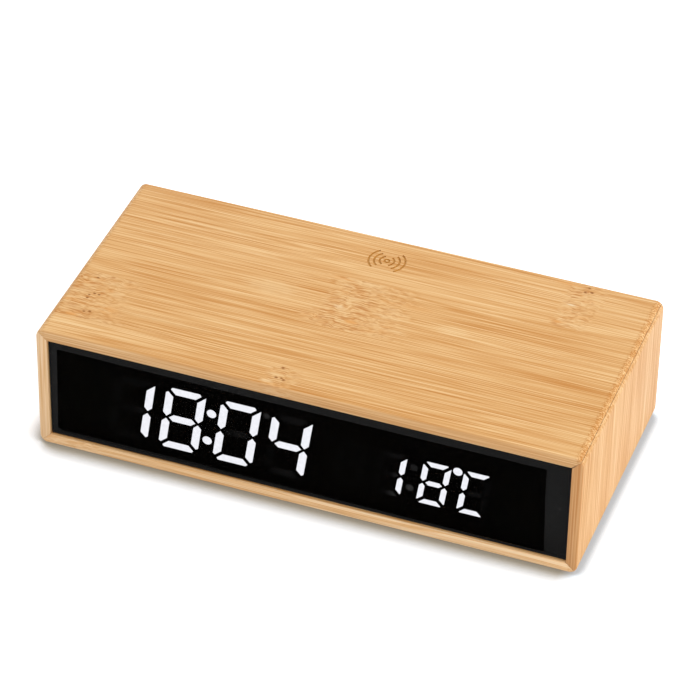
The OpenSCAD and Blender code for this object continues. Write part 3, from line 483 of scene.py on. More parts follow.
# Fine spark texture, flow shade and handling marks of moulded plastic and rubber, in millimetres
moulded, mouldedIn, mouldedOut = startGroup(
    "mouldedSurface", [("Place", "Vector", None), ("Grain Size", "Float", 0.25)], ("Shade", "Height", "Wear"))
sparkScale = calc(moulded, "DIVIDE", 1.0, mouldedIn["Grain Size"])
sparkSpace = mapped(moulded, mouldedIn["Place"], vectorOf(moulded, sparkScale, sparkScale, sparkScale))
spark = noise(moulded, sparkSpace, detail=2.0, roughness=0.6)
flow = noise(moulded, mapped(moulded, mouldedIn["Place"], (0.05, 0.05, 0.05)), detail=3.0)
marks = noise(moulded, mapped(moulded, mouldedIn["Place"], (0.35, 0.35, 0.9), turn=(12, 30, 20)), detail=5.0)
flowShare = calc(moulded, "MULTIPLY", flow, 0.65)
feed(moulded, mouldedOut, "Shade", calc(moulded, "MULTIPLY_ADD", spark, 0.35, flowShare))
feed(moulded, mouldedOut, "Height", spark)
feed(moulded, mouldedOut, "Wear", span(moulded, marks, 0.50, 0.72))

# Fine lines of a brushed or drawn metal, in millimetres
drawn, drawnIn, drawnOut = startGroup(
    "drawnMetal", [("Place", "Vector", None)], ("Shade", "Height", "Wear"))
drawLines = noise(drawn, mapped(drawn, drawnIn["Place"], (9, 0.5, 9)), detail=3.0, roughness=0.65)
stains = noise(drawn, mapped(drawn, drawnIn["Place"], (0.5, 0.5, 0.5)), detail=4.0)
lineShare = calc(drawn, "MULTIPLY", drawLines, 0.5)
feed(drawn, drawnOut, "Shade", calc(drawn, "MULTIPLY_ADD", stains, 0.5, lineShare))
feed(drawn, drawnOut, "Height", drawLines)
feed(drawn, drawnOut, "Wear", span(drawn, stains, 0.5, 0.7))
print("stage: shared surface effects")


# bamboo case

caseShape = {"cornerRadius": 3.0 * mm, "cornerSteps": 9, "edgeRadius": 0.6 * mm, "edgeSteps": 3,
             "jointRelief": 0.10 * mm, "jointSteps": 2, "curveAngle": 24, "grainDepth": 0.05,
             "grainStrength": 0.6}
bambooTones = {"deep": srgb(204, 137, 66), "dark": srgb(218, 160, 95), "middle": srgb(233, 182, 121),
               "light": srgb(245, 203, 148), "dash": srgb(192, 118, 42), "pale": srgb(248, 212, 160),
               "warm": srgb(230, 162, 88), "dot": srgb(150, 84, 0), "streak": srgb(212, 150, 80),
               "fleck": srgb(246, 222, 184), "burnt": srgb(187, 127, 48), "scorched": srgb(213, 157, 76),
               "joint": srgb(92, 56, 26), "gapShade": srgb(46, 28, 16)}
# Joints and edges of the boards in mm: where each begins and is full, and its strength left and right
boardEdges = {"cutEnds": (3.8, 2.4), "cutEndStrength": (0.25, 1.0), "jointRaggedness": 0.40,
              "glue": (0.42, 0.20), "glueStrength": (0.45, 0.80), "gapShadeAround": (2.2, 1.2),
              "gapShadeAcross": (0.62, 0.42), "edgeBand": (0.8, 0.3), "edgeCalm": 0.35, "leftToRight": (-5.0, 5.0)}
# How strongly each of the grain's effects is laid over the board's tone
effectShares = (("Streak", 0.18), ("Pale", 0.50), ("Warm", 0.50), ("Dash", 0.68))
# Spots and streaks of the top panel in mm: place, half length, half width and how strong
spotRaggedness, spotFade = 0.9, (1.45, 0.65)
topSpots = {
    "streak": ((-82, 18.9, 22, 0.8, 0.75), (62, 19.0, 36, 1.0, 0.60), (-25, 22.5, 22, 1.4, 0.40),
               (-72, 43.6, 28, 0.9, 0.55), (-58, -11.5, 16, 0.9, 0.50), (-26, -17.5, 40, 0.9, 0.45),
               (72, -2.5, 27, 0.8, 0.45), (80, 3.4, 20, 0.8, 0.45), (76, 8.0, 24, 0.7, 0.40),
               (75, -22.0, 26, 0.8, 0.40), (70, -28.3, 32, 0.8, 0.45), (-6, -32.5, 24, 0.8, 0.40),
               (-40, -30.8, 34, 0.8, 0.40), (20, -38.5, 60, 0.8, 0.35), (48, 30, 30, 0.8, 0.30)),
    "warm": ((0.7, -3.9, 3.4, 1.5, 0.80), (66, 45.2, 7, 0.9, 0.60), (68.2, 22.8, 2.0, 0.9, 0.70),
             (-97.5, -27, 1.8, 1.2, 0.60), (-92, -34.8, 3.6, 1.1, 0.80), (-12, 19, 5, 1.6, 0.35),
             (-80, -27.5, 4, 2.0, 0.45), (20, 12, 9, 2.4, 0.20)),
    "pale": ((-32, 5, 15, 6, 0.40), (-60, -27, 24, 1.6, 0.30), (-62, 31, 24, 1.6, 0.30),
             (-81, -18.8, 3.4, 2.6, 0.35), (-14.5, -45.2, 3.4, 1.1, 0.70), (36, 4, 8, 4, 0.30)),
    "dash": ((-9.2, 2.6, 3.4, 0.5, 0.55), (-9.6, 4.2, 2.6, 0.4, 0.50), (-15, 9, 5, 0.35, 0.50),
             (-90, -14.8, 2.2, 0.4, 0.50), (76.4, 37.6, 0.6, 0.4, 0.50)),
    "fleck": ((69.9, 33.7, 2.4, 0.8, 0.80), (-5.9, 3.0, 2.6, 1.7, 0.28)),
    "dot": ((73.0, 45.4, 0.83, 0.67, 0.95), (74.6, 43.1, 0.9, 0.67, 0.95), (72.3, 42.6, 0.9, 0.74, 0.95),
            (-91.4, -12.1, 0.9, 0.67, 0.95), (-87.1, -21.2, 0.74, 0.6, 0.95),
            (-88.9, -21.0, 0.74, 0.6, 0.95), (-90.4, -22.3, 0.74, 0.67, 0.95),
            (-90.4, -24.2, 0.74, 0.6, 0.95), (-86.4, -31.2, 0.9, 0.74, 0.95),
            (-88.4, -31.9, 0.74, 0.6, 0.95), (-11.9, -36.6, 1.1, 0.9, 0.95), (-12.2, -42.3, 1.0, 0.8, 0.95),
            (-10.4, -42.1, 0.9, 0.74, 0.95), (-9.4, -43.0, 1.0, 0.8, 0.95))}
panelBoxes = [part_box(name) for name in ("top_panel", "bottom_panel", "left_panel", "right_panel")]
caseLow = Vector([min(low[i] for low, high in panelBoxes) for i in range(3)])
caseHigh = Vector([max(high[i] for low, high in panelBoxes) for i in range(3)])
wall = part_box("left_panel")[1].x - caseLow.x


def bambooMaterial(name, upright, shift, knuckles, boardTint, edgeTint, top=False):
    material, tree, shader, place = newMaterial(name, {"Specular IOR Level": 0.35})
    x, y, z = parts(tree, place)
    fibre = vectorOf(tree, z, y, x) if upright else place
    fromSide = calc(tree, "SUBTRACT", caseHigh.x / mm, calc(tree, "ABSOLUTE", x))
    fromTop = calc(tree, "SUBTRACT", caseHigh.z / mm, z)
    fromBottom = calc(tree, "SUBTRACT", z, caseLow.z / mm)
    fromLid = calc(tree, "MINIMUM", fromTop, fromBottom)
    rightward = span(tree, x, *boardEdges["leftToRight"])
    cutEnds = 0.0
    if not upright:
        cutEnds = calc(tree, "MULTIPLY", span(tree, fromSide, *boardEdges["cutEnds"], soft=True),
                       span(tree, rightward, 0.0, 1.0, *boardEdges["cutEndStrength"]))
    out = useGroup(tree, grain, {"Grain": fibre, "Strip Shift": shift, "Knuckles": knuckles,
                                 "End Grain": cutEnds})
    colour = steps(tree, out["Tone"], [(0.10, bambooTones["deep"]), (0.34, bambooTones["dark"]),
                                       (0.60, bambooTones["middle"]), (0.86, bambooTones["light"])])
    for effect, share in effectShares:
        covered = calc(tree, "MULTIPLY", out[effect], share)
        colour = blendColour(tree, covered, colour, bambooTones[effect.lower()])
    if top:
        rough = noise(tree, mapped(tree, place, (0.25, 1.3, 1.0)), detail=1.0)
        for tone, spots in topSpots.items():
            for spotX, spotY, halfX, halfY, strength in spots:
                middle = mapped(tree, place, (1 / halfX, 1 / halfY, 0), (-spotX / halfX, -spotY / halfY, 0))
                away = distance(tree, middle, (0, 0, 0))
                away = calc(tree, "MULTIPLY_ADD", rough, spotRaggedness, away)
                inside = span(tree, away, *spotFade, 0.0, strength, True)
                colour = blendColour(tree, inside, colour, bambooTones[tone])
    # Glue line along the mitres, with a dark spot of painted shade for the gap where it opens at the window's
    # front corner
    jagged = noise(tree, mapped(tree, place, (2.2, 2.2, 2.2)), detail=2.0)
    fromMitre = calc(tree, "ABSOLUTE", calc(tree, "SUBTRACT", fromSide, fromLid))
    fromMitre = calc(tree, "MULTIPLY_ADD", jagged, boardEdges["jointRaggedness"], fromMitre)
    glueStrength = span(tree, rightward, 0.0, 1.0, *boardEdges["glueStrength"])
    glue = span(tree, fromMitre, *boardEdges["glue"], 0.0, glueStrength)
    atCorner = span(tree, distance(tree, place, openCorner), *boardEdges["gapShadeAround"])
    gapShade = calc(tree, "MULTIPLY", atCorner, span(tree, fromMitre, *boardEdges["gapShadeAcross"]))
    colour = blendColour(tree, glue, colour, bambooTones["joint"])
    colour = blendColour(tree, gapShade, colour, bambooTones["gapShade"])
    # The boards' front and rear edges are cut across the layers and calmer; each board tints them its own
    # way, paler and bluer on the bottom and left boards, darker on the top board and darker and redder on the
    # right one, and tints its face a little, lighter on the top board and darker on the right one
    fromFace = calc(tree, "SUBTRACT", caseHigh.y / mm, calc(tree, "ABSOLUTE", y))
    edgeMask = span(tree, fromFace, *boardEdges["edgeBand"])
    calmed = calc(tree, "MULTIPLY", edgeMask, boardEdges["edgeCalm"])
    colour = blendColour(tree, calmed, colour, bambooTones["middle"])
    tint = blendColour(tree, edgeMask, (*boardTint, 1), (*edgeTint, 1))
    colour = blendColour(tree, 1.0, colour, tint, "MULTIPLY")
    if top:
        # The cut lines of the charging mark are burnt
        markCentre = [c / mm for c in markShape["centre"]] + [0.0]
        nearMark = distance(tree, vectorOf(tree, x, y, 0.0), markCentre)
        cut = calc(tree, "MULTIPLY", span(tree, nearMark, *markShape["burntWithin"]),
                   span(tree, fromTop, *markShape["burntBelow"]))
        scorching = span(tree, noise(tree, mapped(tree, place, (0.9, 0.9, 0.9))), *noiseMiddle)
        burntShade = blendColour(tree, scorching, bambooTones["burnt"], bambooTones["scorched"])
        colour = blendColour(tree, cut, colour, burntShade)
    feed(tree, shader, "Base Color", colour)
    feed(tree, shader, "Roughness", out["Roughness"])
    addBump(tree, shader, out["Height"], caseShape["grainDepth"], caseShape["grainStrength"])
    return material


markShape = {"centre": (0.6 * mm, 34.5 * mm), "ring": 0.85 * mm, "arcs": ((2.64, 62), (4.64, 54), (6.64, 51)),
             "line": 0.75 * mm, "cut": 0.3 * mm, "stepAngle": 0.12, "leastSteps": 8,
             "burntWithin": (8.6, 8.4), "burntBelow": (0.01, 0.06)}
openCorner = (caseHigh.x / mm - wall / mm, caseLow.y / mm, caseHigh.z / mm - wall / mm)
bambooTop = bambooMaterial("bambooTop", False, 0.0, 1.0, (1.01, 1.02, 0.99), (0.94, 0.95, 1.0), top=True)
bambooBottom = bambooMaterial("bambooBottom", False, 37.0, 0.8, (1, 1, 1), (1.23, 1.41, 1.83))
bambooLeft = bambooMaterial("bambooLeft", True, 61.0, 0.0, (1, 1, 1), (1.07, 1.21, 1.58))
bambooRight = bambooMaterial("bambooRight", True, 23.0, 0.0, (0.96, 0.96, 0.95), (0.88, 0.79, 0.745))

caseBlock = addBlock("caseBlock", caseLow, caseHigh)
roundEdges(caseBlock, caseShape["cornerRadius"], caseShape["cornerSteps"],
           lambda a, b: abs(a.y - b.y) > caseHigh.y)
roundEdges(caseBlock, caseShape["edgeRadius"], caseShape["edgeSteps"],
           lambda a, b: abs(a.y - b.y) < tiny and abs(abs(a.y) - caseHigh.y) < tiny)


def cutPanel(name, outward):
    # Cuts a panel out of the block: behind the inner plane and past both mitres everything goes
    panel = copyOf(caseBlock, name)
    outward = Vector(outward)
    beside = Vector((outward.z, 0, outward.x))
    corner = Vector([caseHigh[i] if outward[i] > 0 else caseLow[i] for i in range(3)])
    editAll(panel)
    bpy.ops.mesh.bisect(plane_co=corner - outward * wall, plane_no=outward, use_fill=True, clear_inner=True)
    for side in (beside, -beside):
        edge = Vector([caseHigh[i] if (side + outward)[i] > 0 else caseLow[i] for i in range(3)])
        pickAll()
        bpy.ops.mesh.bisect(plane_co=edge, plane_no=side - outward, use_fill=True, clear_outer=True)
    leaveEdit()
    applyModifier(panel, "BEVEL", "jointRelief", width=caseShape["jointRelief"],
                  segments=caseShape["jointSteps"], limit_method="ANGLE",
                  angle_limit=math.radians(caseShape["curveAngle"]))
    tidyMesh(panel)
    return panel


panels = {}
for name, outward in (("topPanel", (0, 0, 1)), ("bottomPanel", (0, 0, -1)), ("leftPanel", (-1, 0, 0)),
                      ("rightPanel", (1, 0, 0))):
    panels[name] = cutPanel(name, outward)
onlySelect(caseBlock)
bpy.ops.object.delete()


def addMarkLine(name, radius, start, sweep):
    # A small upright rectangle spun round the mark's centre
    centre = Vector((*markShape["centre"], caseHigh.z))
    place = centre + Vector((math.cos(start), math.sin(start), 0)) * radius
    bpy.ops.mesh.primitive_plane_add(size=1, location=place, rotation=(math.pi / 2, 0, start))
    line = named(name)
    line.scale = (markShape["line"], 2 * markShape["cut"], 1)
    settle(line)
    editAll(line)
    bpy.ops.mesh.delete(type="ONLY_FACE")
    pickAll()
    stepCount = max(markShape["leastSteps"], round(sweep / markShape["stepAngle"]))
    bpy.ops.mesh.spin(steps=stepCount, angle=sweep, center=centre, axis=(0, 0, 1))
    pickAll()
    bpy.ops.mesh.remove_doubles(threshold=tiny)
    if sweep < math.tau:
        bpy.ops.mesh.fill_holes(sides=4)
    pickAll()
    bpy.ops.mesh.normals_make_consistent(inside=False)
    leaveEdit()
    return line


markLines = [addMarkLine("markRing", markShape["ring"], 0, math.tau)]
for radius, half in markShape["arcs"]:
    for facing in (0, 180):
        start, sweep = math.radians(facing + half), math.radians(2 * half)
        markLines.append(addMarkLine("markArc", radius * mm, start, sweep))
cutAway(panels["topPanel"], "markCutter", markLines)

footShape = {"diameter": 10.0 * mm, "play": 0.3 * mm, "dish": 0.25 * mm, "lip": 1.1 * mm, "edge": 0.4 * mm,
             "inset": 13.0 * mm, "sides": 48, "recessSides": 64, "edgeSteps": 4}
feetLow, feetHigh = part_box("rubber_feet")
footPlaces = [(sx * (caseHigh.x - footShape["inset"]), sy * (caseHigh.y - footShape["inset"]))
              for sx in (-1, 1) for sy in (-1, 1)]
recesses = []
for x, y in footPlaces:
    bpy.ops.mesh.primitive_cylinder_add(vertices=footShape["recessSides"], location=(x, y, caseLow.z),
                                        radius=(footShape["diameter"] + footShape["play"]) / 2,
                                        depth=2 * (feetHigh.z - caseLow.z))
    recesses.append(named("footRecess"))
    settle(recesses[-1])
cutAway(panels["bottomPanel"], "footCutter", recesses)
for name, material, replaced in (("topPanel", bambooTop, "top_panel"),
                                 ("bottomPanel", bambooBottom, "bottom_panel"),
                                 ("leftPanel", bambooLeft, "left_panel"),
                                 ("rightPanel", bambooRight, "right_panel")):
    tidyMesh(panels[name])
    finishPiece(panels[name], material, "clock", "bamboo", replaced)
print("stage: bamboo case")


# plain finishes, each with its own texture values

metalWear, metalDepth = 0.15, 0.004


def plasticMaterial(name, colour, second, roughness, grainSize, depth, level=0.4, wear=0.0):
    material, tree, shader, place = newMaterial(name, {"Specular IOR Level": level})
    out = useGroup(tree, moulded, {"Place": place, "Grain Size": grainSize})
    tint = blendColour(tree, span(tree, out["Shade"], *noiseMiddle), colour, second)
    feed(tree, shader, "Base Color", tint)
    feed(tree, shader, "Roughness", span(tree, out["Wear"], 0.0, 1.0, roughness, roughness - wear))
    addBump(tree, shader, out["Height"], depth)
    return material


def metalMaterial(name, colour, second, roughness):
    material, tree, shader, place = newMaterial(name, {"Metallic": 1.0})
    out = useGroup(tree, drawn, {"Place": place})
    tint = blendColour(tree, span(tree, out["Shade"], *noiseMiddle), colour, second)
    feed(tree, shader, "Base Color", tint)
    feed(tree, shader, "Roughness", span(tree, out["Wear"], 0.0, 1.0, roughness, roughness + metalWear))
    addBump(tree, shader, out["Height"], metalDepth)
    return material


rubber = plasticMaterial("footRubber", srgb(38, 38, 39), srgb(48, 48, 49), 0.75, 0.35, 0.03)
boxPlastic = plasticMaterial("boxPlastic", (0.003, 0.003, 0.003, 1), (0.004, 0.003, 0.002, 1), 0.8, 0.3,
                             0.01, level=0.02)
blackPlastic = plasticMaterial("blackPlastic", srgb(34, 35, 37), srgb(42, 43, 45), 0.5, 0.25, 0.02, wear=0.1)
coverPlastic = plasticMaterial("coverPlastic", srgb(38, 38, 40), srgb(46, 46, 48), 0.55, 0.30, 0.035,
                               wear=0.12)
buttonPlastic = plasticMaterial("buttonPlastic", srgb(52, 53, 56), srgb(60, 61, 64), 0.42, 0.20, 0.012, 0.45,
                                0.12)
chipPlastic = plasticMaterial("chipPlastic", srgb(30, 30, 32), srgb(38, 38, 40), 0.6, 0.15, 0.01)
ivoryPlastic = plasticMaterial("plugIvory", srgb(222, 214, 192), srgb(230, 223, 203), 0.4, 0.3, 0.008)
plungerPlastic = plasticMaterial("plungerPlastic", srgb(205, 182, 128), srgb(212, 190, 138), 0.45, 0.2, 0.008)
tonguePlastic = plasticMaterial("tonguePlastic", srgb(22, 22, 23), srgb(28, 28, 29), 0.45, 0.15, 0.006)
ferrite = plasticMaterial("ferrite", srgb(60, 61, 63), srgb(72, 73, 76), 0.62, 0.12, 0.02, 0.5, 0.05)
cableGrey = plasticMaterial("cableGrey", srgb(128, 130, 134), srgb(140, 142, 146), 0.48, 0.5, 0.01)
ledResin = plasticMaterial("ledResin", srgb(236, 214, 92), srgb(244, 226, 120), 0.3, 0.4, 0.004)
steel = metalMaterial("screwSteel", srgb(168, 168, 172), srgb(190, 190, 194), 0.32)
blackScrew = metalMaterial("blackScrew", srgb(38, 38, 41), srgb(54, 54, 58), 0.38)
shellSteel = metalMaterial("shellSteel", srgb(186, 187, 192), srgb(206, 207, 211), 0.24)
canMetal = metalMaterial("canMetal", srgb(180, 181, 184), srgb(204, 205, 208), 0.28)
copper = metalMaterial("windingCopper", srgb(186, 108, 66), srgb(208, 130, 84), 0.3)
brass = metalMaterial("springBrass", srgb(196, 160, 92), srgb(214, 180, 112), 0.3)
cellSteel = metalMaterial("cellSteel", srgb(192, 193, 196), srgb(212, 213, 216), 0.22)
gold = metalMaterial("contactGold", srgb(214, 172, 92), srgb(232, 194, 116), 0.22)
dress(boxPlastic, "light_box")
dress(blackPlastic, "chassis", "coil_carrier", "cell_cup")
dress(coverPlastic, "rear_cover", "battery_door")
dress(chipPlastic, "driver_chip", "clock_chip", "charge_controller", "light_sensor", "buzzer",
      "button_switches", "temperature_sensor")
dress(ledResin, "segment_leds")
dress(steel, "display_screws", "chassis_screws", "board_screws", "carrier_screws", "button_board_screws")
dress(blackScrew, "cover_screws")
dress(ferrite, "ferrite_disc", "power_inductor")
dress(canMetal, "capacitors", "crystal")
dress(copper, "coil_leads")
dress(brass, "cell_spring")
dress(cableGrey, "display_ribbon", "button_ribbon")
dress(ivoryPlastic, "cable_plugs")
dress(plungerPlastic, "mode_plunger", "set_plunger", "up_plunger", "down_plunger")
dress(shellSteel, "socket_shell")
dress(tonguePlastic, "socket_tongue")
dress(cellSteel, "coin_cell")


# Circuit board: solder mask over traces, with bright pads
def boardMaterial():
    material, tree, shader, place = newMaterial("circuitBoard", {"Specular IOR Level": 0.5})
    x, y, z = parts(tree, place)
    flat = vectorOf(tree, x, calc(tree, "ADD", y, z), 0.0)
    wires = addNode(tree, "ShaderNodeTexBrick", {"Vector": flat, "Scale": 0.5, "Mortar Size": 0.06,
                                                 "Brick Width": 3.4, "Row Height": 0.7}).outputs["Fac"]
    cells = addNode(tree, "ShaderNodeTexVoronoi", {"Vector": flat, "Scale": 0.28}).outputs["Distance"]
    pads = span(tree, cells, 0.11, 0.09)
    mask = blendColour(tree, wires, srgb(18, 74, 48), srgb(30, 96, 62))
    feed(tree, shader, "Base Color", blendColour(tree, pads, mask, srgb(206, 190, 150)))
    feed(tree, shader, "Metallic", pads)
    feed(tree, shader, "Roughness", span(tree, noise(tree, place, 0.4), 0.3, 0.7, 0.28, 0.40))
    addBump(tree, shader, calc(tree, "MAXIMUM", wires, pads), 0.02)
    return material


dress(boardMaterial(), "display_board", "main_board", "button_board")
print("stage: plain finishes")


# display: lit and unlit fillings, printed border and smoked lens

display = {"lit": 1.78, "litTint": (0.93, 0.94, 1.0, 1), "litMottle": 0.10, "unlit": 0.001,
               "leastGlow": 0.0003, "border": 0.006, "borderGlow": 0.0056, "spotTone": 0.022,
               "spotGlow": 3.2, "spotRadius": 0.49 * mm, "spotEdge": 0.04 * mm, "smoke": 0.293, "edge": 0.12,
               "rimGlow": 0.0145, "lensTint": (0.001, 0.0005, 0.0003, 1), "coatFrom": (0.55, 0.95),
               "coatAtEdge": 0.8, "cornerRadius": 0.4 * mm, "cornerSteps": 4, "edgeRadius": 0.2 * mm,
               "edgeSteps": 3, "printEdge": 0.06, "printGlowReach": 2.5, "spotSides": 48, "spotSteps": 2}
# Grey print on the border film: width beside each side in mm, lean per mm and how much stronger its painted
# glow is there
printLines = {"left": (2.23, 0.019, 2.35), "right": (8.95, 0.027, 1.0), "bottom": (0.56, -0.0095, 2.6),
              "top": (5.06, 0.0074, 1.0)}
filmLow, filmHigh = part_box("border_film")
# Light that strays into unlit segments, in mm: place in X and Z, reach and how strong
strayLight = ((-14.5, 35.1, 2.4, 0.040), (39.5, 28.1, 2.6, 0.026), (38.2, 18.8, 2.6, 0.062),
              (34.2, 22.8, 3.6, 0.030), (32.4, 14.0, 3.8, 0.028), (33.0, 31.5, 4.5, 0.008),
              (-24.5, 23.7, 7.5, 0.006), (-4.0, 36.0, 8.0, 0.007), (-8.0, 11.0, 8.0, 0.007),
              (-60.0, 23.7, 5.0, 0.008), (62.0, 22.8, 7.0, 0.006))
litMaterial, litTree, litShader, litPlace = newMaterial("litFilling", {
    "Base Color": (0.5, 0.5, 0.52, 1), "Specular IOR Level": 0.1, "Emission Strength": display["lit"]})
mottle = span(litTree, noise(litTree, mapped(litTree, litPlace, (0.8, 0.8, 0.8)), detail=2.0), *noiseMiddle)
litTint = display["litTint"]
dimmer = tuple(c * (1 - display["litMottle"]) for c in litTint[:3]) + (1,)
feed(litTree, litShader, "Emission Color", blendColour(litTree, mottle, dimmer, litTint))
feed(litTree, litShader, "Roughness", span(litTree, mottle, 0, 1, 0.35, 0.5))
dress(litMaterial, "time_digits", "time_colon", "temperature_digits", "degree_dot")

unlitMaterial, unlitTree, unlitShader, unlitPlace = newMaterial("unlitFilling", {
    "Specular IOR Level": 0.05, "Emission Strength": 1.0})
unlitOut = useGroup(unlitTree, moulded, {"Place": unlitPlace, "Grain Size": 1.6})
unlit = display["unlit"]
unlitTint = blendColour(unlitTree, unlitOut["Shade"], (unlit,) * 3 + (1,), (unlit * 0.6,) * 3 + (1,))
feed(unlitTree, unlitShader, "Base Color", unlitTint)
feed(unlitTree, unlitShader, "Roughness", span(unlitTree, unlitOut["Wear"], 0, 1, 0.4, 0.5))
glow = display["leastGlow"]
for strayX, strayZ, strayReach, strength in strayLight:
    away = distance(unlitTree, mapped(unlitTree, unlitPlace, (1, 0, 1)), (strayX, 0, strayZ))
    stray = span(unlitTree, away, strayReach, 0.0, 0.0, strength, True)
    glow = calc(unlitTree, "MAXIMUM", glow, stray)
glow = calc(unlitTree, "MULTIPLY", glow, span(unlitTree, unlitOut["Shade"], *noiseMiddle, 0.8, 1.1))
feed(unlitTree, unlitShader, "Emission Color", glow)
dress(unlitMaterial, "unlit_segments")


def printAndGlowMaterial(name, tone, glowTone):
    # Printed film carrying a painted glow that evens out the shade on it, stronger near some print lines, and
    # clear outside its printed lines
    material, tree, shader, place = newMaterial(name, {"Specular IOR Level": 0.2, "Emission Strength": 1.0})
    out = useGroup(tree, moulded, {"Place": place, "Grain Size": 0.5})
    x, _, z = parts(tree, place)
    beside = calc(tree, "SUBTRACT", z, (filmLow.z + filmHigh.z) / 2 / mm)
    printed, lit = 0.0, 1.0
    for side, inward, along in (("left", calc(tree, "SUBTRACT", x, filmLow.x / mm), beside),
                                ("right", calc(tree, "SUBTRACT", filmHigh.x / mm, x), beside),
                                ("bottom", calc(tree, "SUBTRACT", z, filmLow.z / mm), x),
                                ("top", calc(tree, "SUBTRACT", filmHigh.z / mm, z), x)):
        width, lean, bright = printLines[side]
        away = calc(tree, "SUBTRACT", inward, calc(tree, "MULTIPLY_ADD", along, lean, width))
        inked = span(tree, away, display["printEdge"], -display["printEdge"])
        printed = calc(tree, "MAXIMUM", printed, inked)
        lit = calc(tree, "MAXIMUM", lit, span(tree, away, 0.0, display["printGlowReach"], bright, 1.0))
    feed(tree, shader, "Alpha", printed)
    for socket, level, share in (("Base Color", tone, 1.0), ("Emission Color", glowTone, lit)):
        tint = blendColour(tree, out["Shade"], (level * 0.94, level * 0.95, level * 0.96, 1),
                           (level, level * 1.01, level * 1.03, 1))
        tint = addNode(tree, "ShaderNodeVectorMath", {0: tint, "Scale": share}, operation="SCALE").outputs[0]
        feed(tree, shader, socket, tint)
    feed(tree, shader, "Roughness", span(tree, out["Wear"], 0, 1, 0.6, 0.5))
    return material


dress(printAndGlowMaterial("borderPrintAndGlow", display["border"], display["borderGlow"]), "border_film")

# Frosted spot in the border's small hole, in front of the light sensor, with a painted glow stronger than the
# border's
sensorLow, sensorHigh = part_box("light_sensor")
sensorMiddle = (sensorLow + sensorHigh) / 2
spotPlace = (sensorMiddle.x, (filmLow.y + filmHigh.y) / 2, sensorMiddle.z)
bpy.ops.mesh.primitive_cylinder_add(vertices=display["spotSides"], radius=display["spotRadius"],
                                    depth=filmHigh.y - filmLow.y, rotation=degrees(90, 0, 0),
                                    location=spotPlace)
spot = named("sensorDiffuser")
settle(spot)
roundEdges(spot, display["spotEdge"], display["spotSteps"], lambda a, b: abs(a.y - b.y) < tiny)
tidyMesh(spot)
spotMaterial = printAndGlowMaterial("frostedSpotGlow", display["spotTone"],
                             display["borderGlow"] * display["spotGlow"])
finishPiece(spot, spotMaterial, "clock", "smoked_lens")

lensLow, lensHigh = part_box("display_lens")
lensMaterial, lensTree, lensShader, lensPlace = newMaterial("smokedLens", {
    "Base Color": display["lensTint"], "Specular IOR Level": 0.005, "Coat Roughness": 0.03,
    "Coat IOR": 1.49, "Emission Strength": 1.0})
lensX, _, lensZ = parts(lensTree, lensPlace)
lensMiddle = (lensHigh.z + lensLow.z) / 2 / mm
lensHalfHeight = (lensHigh.z - lensLow.z) / 2 / mm
# The lens's rim is painted and glows faintly like the border
nearEnd = span(lensTree, calc(lensTree, "ABSOLUTE", lensX), lensHigh.x / mm - display["edge"],
               lensHigh.x / mm - display["edge"] / 2)
nearRim = span(lensTree, calc(lensTree, "ABSOLUTE", calc(lensTree, "SUBTRACT", lensZ, lensMiddle)),
               lensHalfHeight - display["edge"], lensHalfHeight - display["edge"] / 2)
rimMask = calc(lensTree, "MAXIMUM", nearEnd, nearRim)
rimGlow = span(lensTree, rimMask, 0, 1, 0.0, display["rimGlow"])
feed(lensTree, lensShader, "Alpha", span(lensTree, rimMask, 0, 1, display["smoke"], 1.0))
feed(lensTree, lensShader, "Emission Color", rimGlow)
facing = addNode(lensTree, "ShaderNodeLayerWeight", {"Blend": 0.5}).outputs["Facing"]
coat = span(lensTree, facing, *display["coatFrom"], 0.0, display["coatAtEdge"])
feed(lensTree, lensShader, "Coat Weight", coat)
smears = noise(lensTree, mapped(lensTree, lensPlace, (0.06, 0.06, 0.11)), detail=4.0)
feed(lensTree, lensShader, "Roughness", span(lensTree, smears, 0.35, 0.7, 0.06, 0.14))

lens = addBlock("displayLens", lensLow, lensHigh)
roundEdges(lens, display["cornerRadius"], display["cornerSteps"],
           lambda a, b: abs(a.y - b.y) > (lensHigh.y - lensLow.y) / 2)
roundEdges(lens, display["edgeRadius"], display["edgeSteps"],
           lambda a, b: max(a.y, b.y) < lensLow.y + tiny)
tidyMesh(lens)
finishPiece(lens, lensMaterial, "clock", "smoked_lens", "display_lens")
print("stage: display")


# rubber feet, one modelled and three copied

bpy.ops.mesh.primitive_cylinder_add(vertices=footShape["sides"], radius=footShape["diameter"] / 2,
                                    depth=feetHigh.z - feetLow.z,
                                    location=(*footPlaces[0], (feetHigh.z + feetLow.z) / 2))
foot = named("rubberFoot1")
settle(foot)
pickFaces(foot, lambda c, n: n.z < -0.9)
bpy.ops.mesh.inset(thickness=footShape["lip"])
bpy.ops.mesh.inset(thickness=footShape["edge"])
bpy.ops.transform.translate(value=(0, 0, footShape["dish"]))
leaveEdit()


def onSoleRim(point):
    fromAxis = math.dist(point[:2], footPlaces[0])
    return point.z < feetLow.z + tiny and fromAxis > footShape["diameter"] / 2 - 10 * tiny


roundEdges(foot, footShape["edge"], footShape["edgeSteps"], lambda a, b: onSoleRim(a) and onSoleRim(b))
tidyMesh(foot)
feet = [foot]
for count, (x, y) in enumerate(footPlaces[1:], 2):
    feet.append(movedCopy(foot, f"rubberFoot{count}", (x - footPlaces[0][0], y - footPlaces[0][1], 0)))
for piece in feet:
    finishPiece(piece, rubber, "clock", "foot_rubber", "rubber_feet")


# button caps with a dished top, one modelled and three copied

